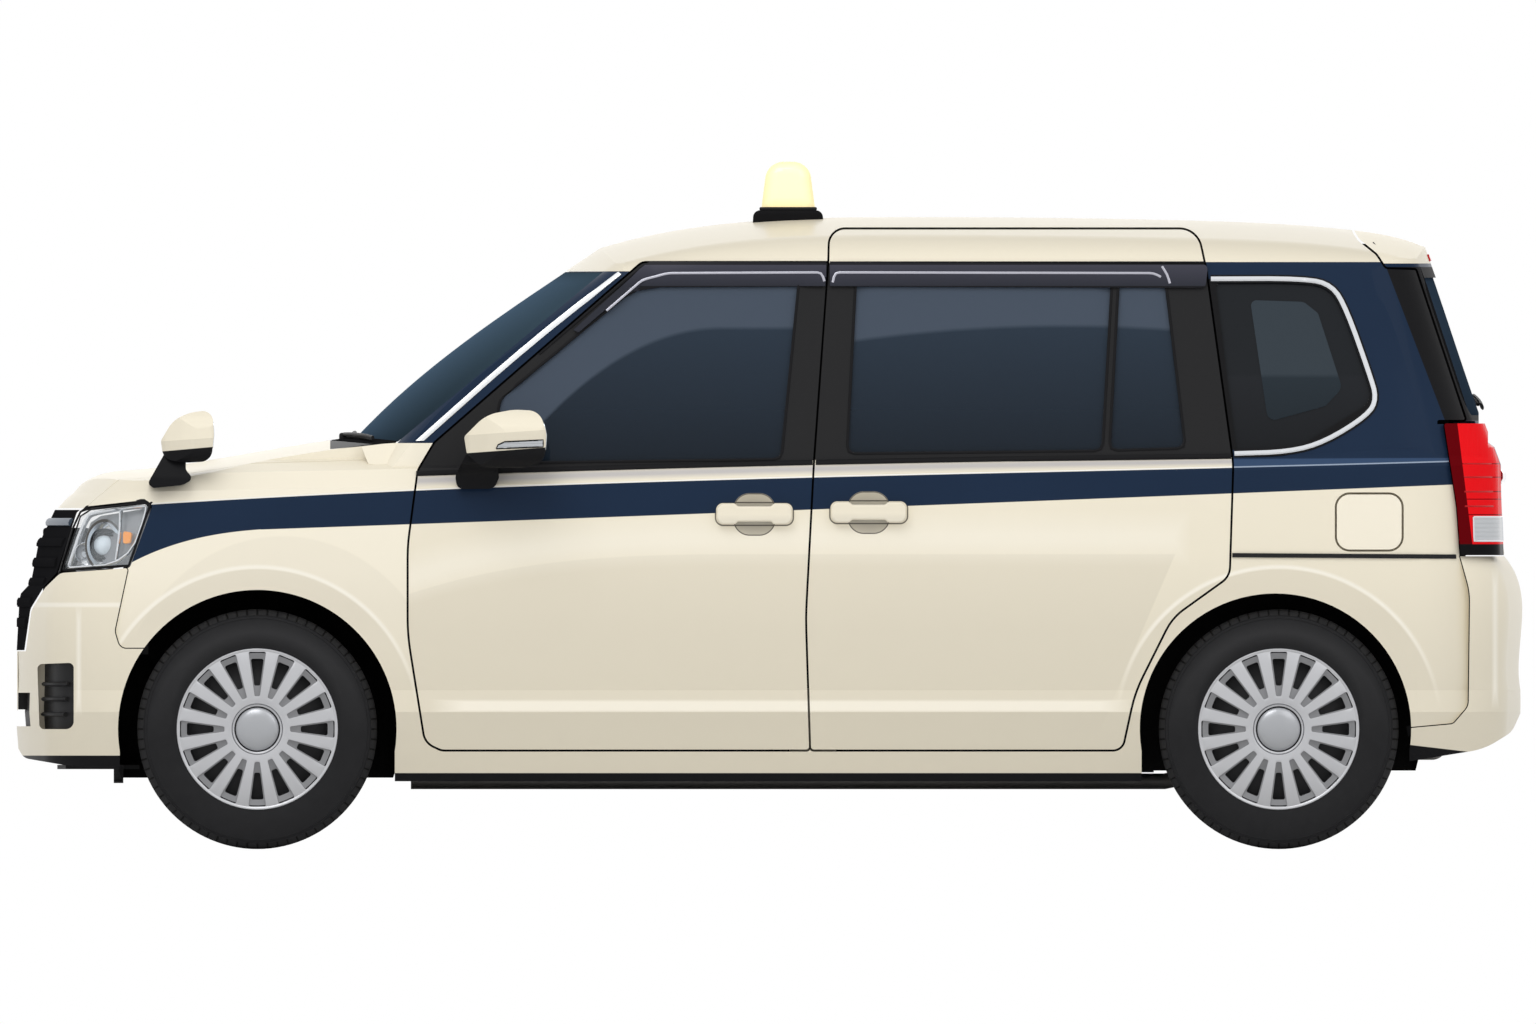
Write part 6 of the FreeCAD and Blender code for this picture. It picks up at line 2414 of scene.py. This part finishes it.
@dataclass
class Cabin:
    """Seats of foam and cloth, and the fittings seen through the glass."""

    hip: float = 0.36
    voxel: float = 0.024
    frames: int = 16
    swell: float = 0.012
    pressure: float = 4.0

    seat: tuple[Pad, ...] = (
        Pad("seat_cushion_{}", (-0.06, 0.40), 0.235, (0.46, 0.585), 4.0, (0.0, 0.5), 0.045),
        Pad("seat_back_{}", (-0.155, -0.045), 0.225, (0.57, 1.11), 12.0, (-0.1, 0.56), 0.05),
        Pad("head_rest_{}", (-0.245, -0.150), 0.125, (1.13, 1.285), 6.0, (-0.2, 1.2), 0.04),
    )
    bench: tuple[Pad, ...] = (
        Pad("bench_cushion", (-0.86, -0.43), 0.55, (0.46, 0.60), 4.0, (-0.6, 0.5), 0.05),
        Pad("bench_back", (-0.97, -0.85), 0.55, (0.60, 1.11), 10.0, (-0.9, 0.6), 0.05),
    )

    def stuffed(self, pad: Pad, side: str = "", middle: float = 0.0) -> bpy.types.Object:
        """Makes one pad, swollen by simulation.

        Args:
            pad: the pad.
            side: left or right, for its name.
            middle: the y of its middle.

        Returns:
            The pad.
        """
        made = pad.piece(side, middle).made("body", SEAT_CLOTH, 60.0)
        remesh = made.modifiers.new("even", "REMESH")
        remesh.mode = "VOXEL"
        remesh.voxel_size = self.voxel
        remesh.use_smooth_shade = True
        made.data = self.applied(made)
        self.swollen(made)
        soft = made.modifiers.new("soft", "SUBSURF")
        soft.levels = 1
        soft.render_levels = 1
        made.data = self.applied(made)
        made.data.shade_smooth()
        return made

    def applied(self, made: bpy.types.Object) -> bpy.types.Mesh:
        """Applies an object's modifiers, which go.

        Args:
            made: the object.

        Returns:
            What they make of its mesh.
        """
        graph = bpy.context.evaluated_depsgraph_get()
        graph.update()
        mesh = bpy.data.meshes.new_from_object(made.evaluated_get(graph), depsgraph=graph)
        made.modifiers.clear()
        return mesh

    def swollen(self, made: bpy.types.Object) -> None:
        """Blows a pad up as cloth and keeps the shape, limiting how far each point moves.

        Args:
            made: the pad.
        """
        scene = bpy.context.scene
        start = [vertex.co.copy() for vertex in made.data.vertices]
        cloth = made.modifiers.new("cloth", "CLOTH")
        cloth.settings.use_pressure = True
        cloth.settings.uniform_pressure_force = self.pressure
        cloth.settings.effector_weights.gravity = 0.0
        cloth.settings.quality = 4
        cloth.point_cache.frame_start = 1
        cloth.point_cache.frame_end = self.frames
        for frame_number in range(1, self.frames + 1):
            scene.frame_set(frame_number)
        mesh = self.applied(made)
        scene.frame_set(1)
        for vertex, was in zip(mesh.vertices, start):
            shift = vertex.co - was
            if shift.length > self.swell:
                vertex.co = was + shift.normalized() * self.swell
        made.data = mesh

    def build(self) -> None:
        """Makes the seats."""
        cushions = []
        for side, hand in (("left", LEFT), ("right", RIGHT)):
            middle = hand * self.hip
            cushions += [self.stuffed(pad, side, middle) for pad in self.seat]
            base = (-0.05, middle - 0.215, 0.30), (0.36, middle + 0.215, 0.455)
            boxed(f"seat_base_{side}", *base, CABIN, 0.03, 3)
            for name, post in (("in", -0.06), ("out", 0.06)):
                foot = Vector((-0.188, middle + post, 1.07))
                top = Vector((-0.195, middle + post, 1.15))
                stem = Piece(f"head_rest_post_{side}_{name}")
                stem.sweep([(foot, FACE_FRONT), (top, FACE_FRONT)], 0.012, 0.012)
                stem.made("body", CHROME)
        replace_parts(cushions[0], "front_seats")
        bench, _ = (self.stuffed(pad) for pad in self.bench)
        boxed("bench_base", (-0.84, -0.52, 0.31), (-0.45, 0.52, 0.455), CABIN, 0.03, 3)
        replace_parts(bench, "rear_bench")


@dataclass
class Studio:
    """A pale floor, soft light and the camera square to the cab's left side."""

    width: float = 4.3008
    height: float = 0.944
    away: float = 12.0
    near: float = 3.0
    far: float = 9.0
    soft: float = 0.75

    # Name, place, aim, size and power.
    lights: tuple[tuple[str, Triple, Triple, float, float], ...] = (
        ("key", (2.5, 6.0, 7.5), (0.0, 0.0, 0.7), 5.0, 210.0),
        ("fill", (-4.5, 6.0, 5.5), (0.0, 0.0, 0.7), 5.0, 70.0),
        ("overhead", (0.0, 0.0, 6.0), (0.0, 0.0, 0.0), 7.0, 5.0),
        ("back", (0.0, -7.0, 4.0), (0.0, 0.0, 0.7), 6.0, 60.0),
    )
    seen_rays: tuple[str, str, str] = ("Is Camera Ray", "Is Glossy Ray", "Is Transmission Ray")

    def build(self) -> None:
        """Sets the scene round the cab."""
        self.floor()
        self.world()
        self.lamps()
        self.camera()
        bpy.context.scene.view_settings.view_transform = "Standard"

    def linked(self, name: str, data: bpy.types.ID) -> bpy.types.Object:
        """Puts a new object in the scene.

        Args:
            name: its name.
            data: its data.

        Returns:
            The object.
        """
        made = bpy.data.objects.new(name, data)
        bpy.context.scene.collection.objects.link(made)
        return made

    def floor(self) -> None:
        """Lays the floor, which fades to white away from the cab."""
        piece = Piece("floor")
        bmesh.ops.create_grid(piece.bm, x_segments=2, y_segments=2, size=30.0)
        floor = piece.linked()
        board = Board("pale_floor")
        board.set(base_color=(0.84, 0.84, 0.84), roughness=0.9)
        away = ((board.x.beside(board.y) - self.near) / (self.far - self.near)).clamped()
        first, *others = (board.flow("ShaderNodeLightPath", {}, kind) for kind in self.seen_rays)
        for other in others:
            first = first | other
        glow = board.flow("ShaderNodeEmission", {})
        lit = Flow(board, board.shader.outputs[0])
        mix = board.flow("ShaderNodeMixShader", {0: away * first, 1: lit, 2: glow})
        board.feed(board.output.inputs[0], mix)
        floor.data.materials.append(board.material)
        floor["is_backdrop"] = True

    def world(self) -> None:
        """Lights everything evenly and shows white behind it."""
        world = bpy.data.worlds.new("studio")
        bpy.context.scene.world = world
        world.use_nodes = True
        tree = world.node_tree
        tree.nodes.clear()
        output = tree.nodes.new("ShaderNodeOutputWorld")
        rays = tree.nodes.new("ShaderNodeLightPath")
        mix = tree.nodes.new("ShaderNodeMixShader")
        for number, strength in ((1, self.soft), (2, 1.0)):
            light = tree.nodes.new("ShaderNodeBackground")
            light.inputs["Strength"].default_value = strength
            light.inputs["Color"].default_value = (1.0, 1.0, 1.0, 1.0)
            tree.links.new(light.outputs[0], mix.inputs[number])
        seen = rays.outputs[self.seen_rays[0]]
        for kind in self.seen_rays[1:]:
            either = tree.nodes.new("ShaderNodeMath")
            either.operation = "MAXIMUM"
            tree.links.new(seen, either.inputs[0])
            tree.links.new(rays.outputs[kind], either.inputs[1])
            seen = either.outputs[0]
        tree.links.new(seen, mix.inputs[0])
        tree.links.new(mix.outputs[0], output.inputs[0])

    def lamps(self) -> None:
        """Hangs large soft lamps."""
        for name, place, aim, spread, power in self.lights:
            light = bpy.data.lights.new(name, "AREA")
            light.shape = "SQUARE"
            light.size = spread
            light.energy = power
            lamp = self.linked(name, light)
            lamp.location = place
            lamp.rotation_euler = (Vector(aim) - Vector(place)).to_track_quat("-Z", "Y").to_euler()

    def camera(self) -> None:
        """Stands the camera off the left side, without perspective."""
        data = bpy.data.cameras.new("camera")
        data.type = "ORTHO"
        data.ortho_scale = self.width
        camera = self.linked("camera", data)
        camera.location = (0.0, self.away, self.height)
        camera.rotation_euler = (math.radians(90.0), 0.0, math.radians(180.0))
        bpy.context.scene.camera = camera


SIDE_NODES = (
    "door_front_left door_front_right body_side_left body_side_right fender_left fender_right "
    "sliding_doors roof_panel front_bumper rear_bumper headlamps tail_lamps hood "
    "glass_front_left sliding_door_glass quarter_glass tailgate windscreen"
)
END_NODES = "grille hood front_bumper tailgate tailgate_glass rear_bumper roof_panel"
TOP_NODES = "hood cowl windscreen fender_left fender_right"


def main() -> None:
    """Builds and dresses the cab, then the studio round it."""
    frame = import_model()
    nodes = frame["nodes"]
    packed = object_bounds()
    Piece.room = (Vector(packed[0]), Vector(packed[1]))
    outside, ends, tops, panel, mirrors, grille, inserts = (
        Shell(nodes, names.split())
        for names in (
            SIDE_NODES,
            END_NODES,
            TOP_NODES,
            "body_side_left",
            "door_mirror_left fender_mirrors",
            "grille",
            "bumper_inserts",
        )
    )
    bodywork = Bodywork(nodes, outside)
    bodywork.dress()
    for assembly in (
        bodywork,
        Seals(outside),
        QuarterWindow(outside, panel),
        RainVisors(outside),
        WindowRubbers(outside),
        RunningGear(),
        HeadLamps(outside),
        TailLamps(outside),
        Mirrors(mirrors),
        Nose(grille, inserts),
        Wipers(tops),
        RoofLamp(),
        Tail(ends),
        Cabin(),
        Studio(),
    ):
        assembly.build()


if __name__ == "__main__":
    logging.basicConfig(level=logging.INFO, format="%(message)s")
    main()
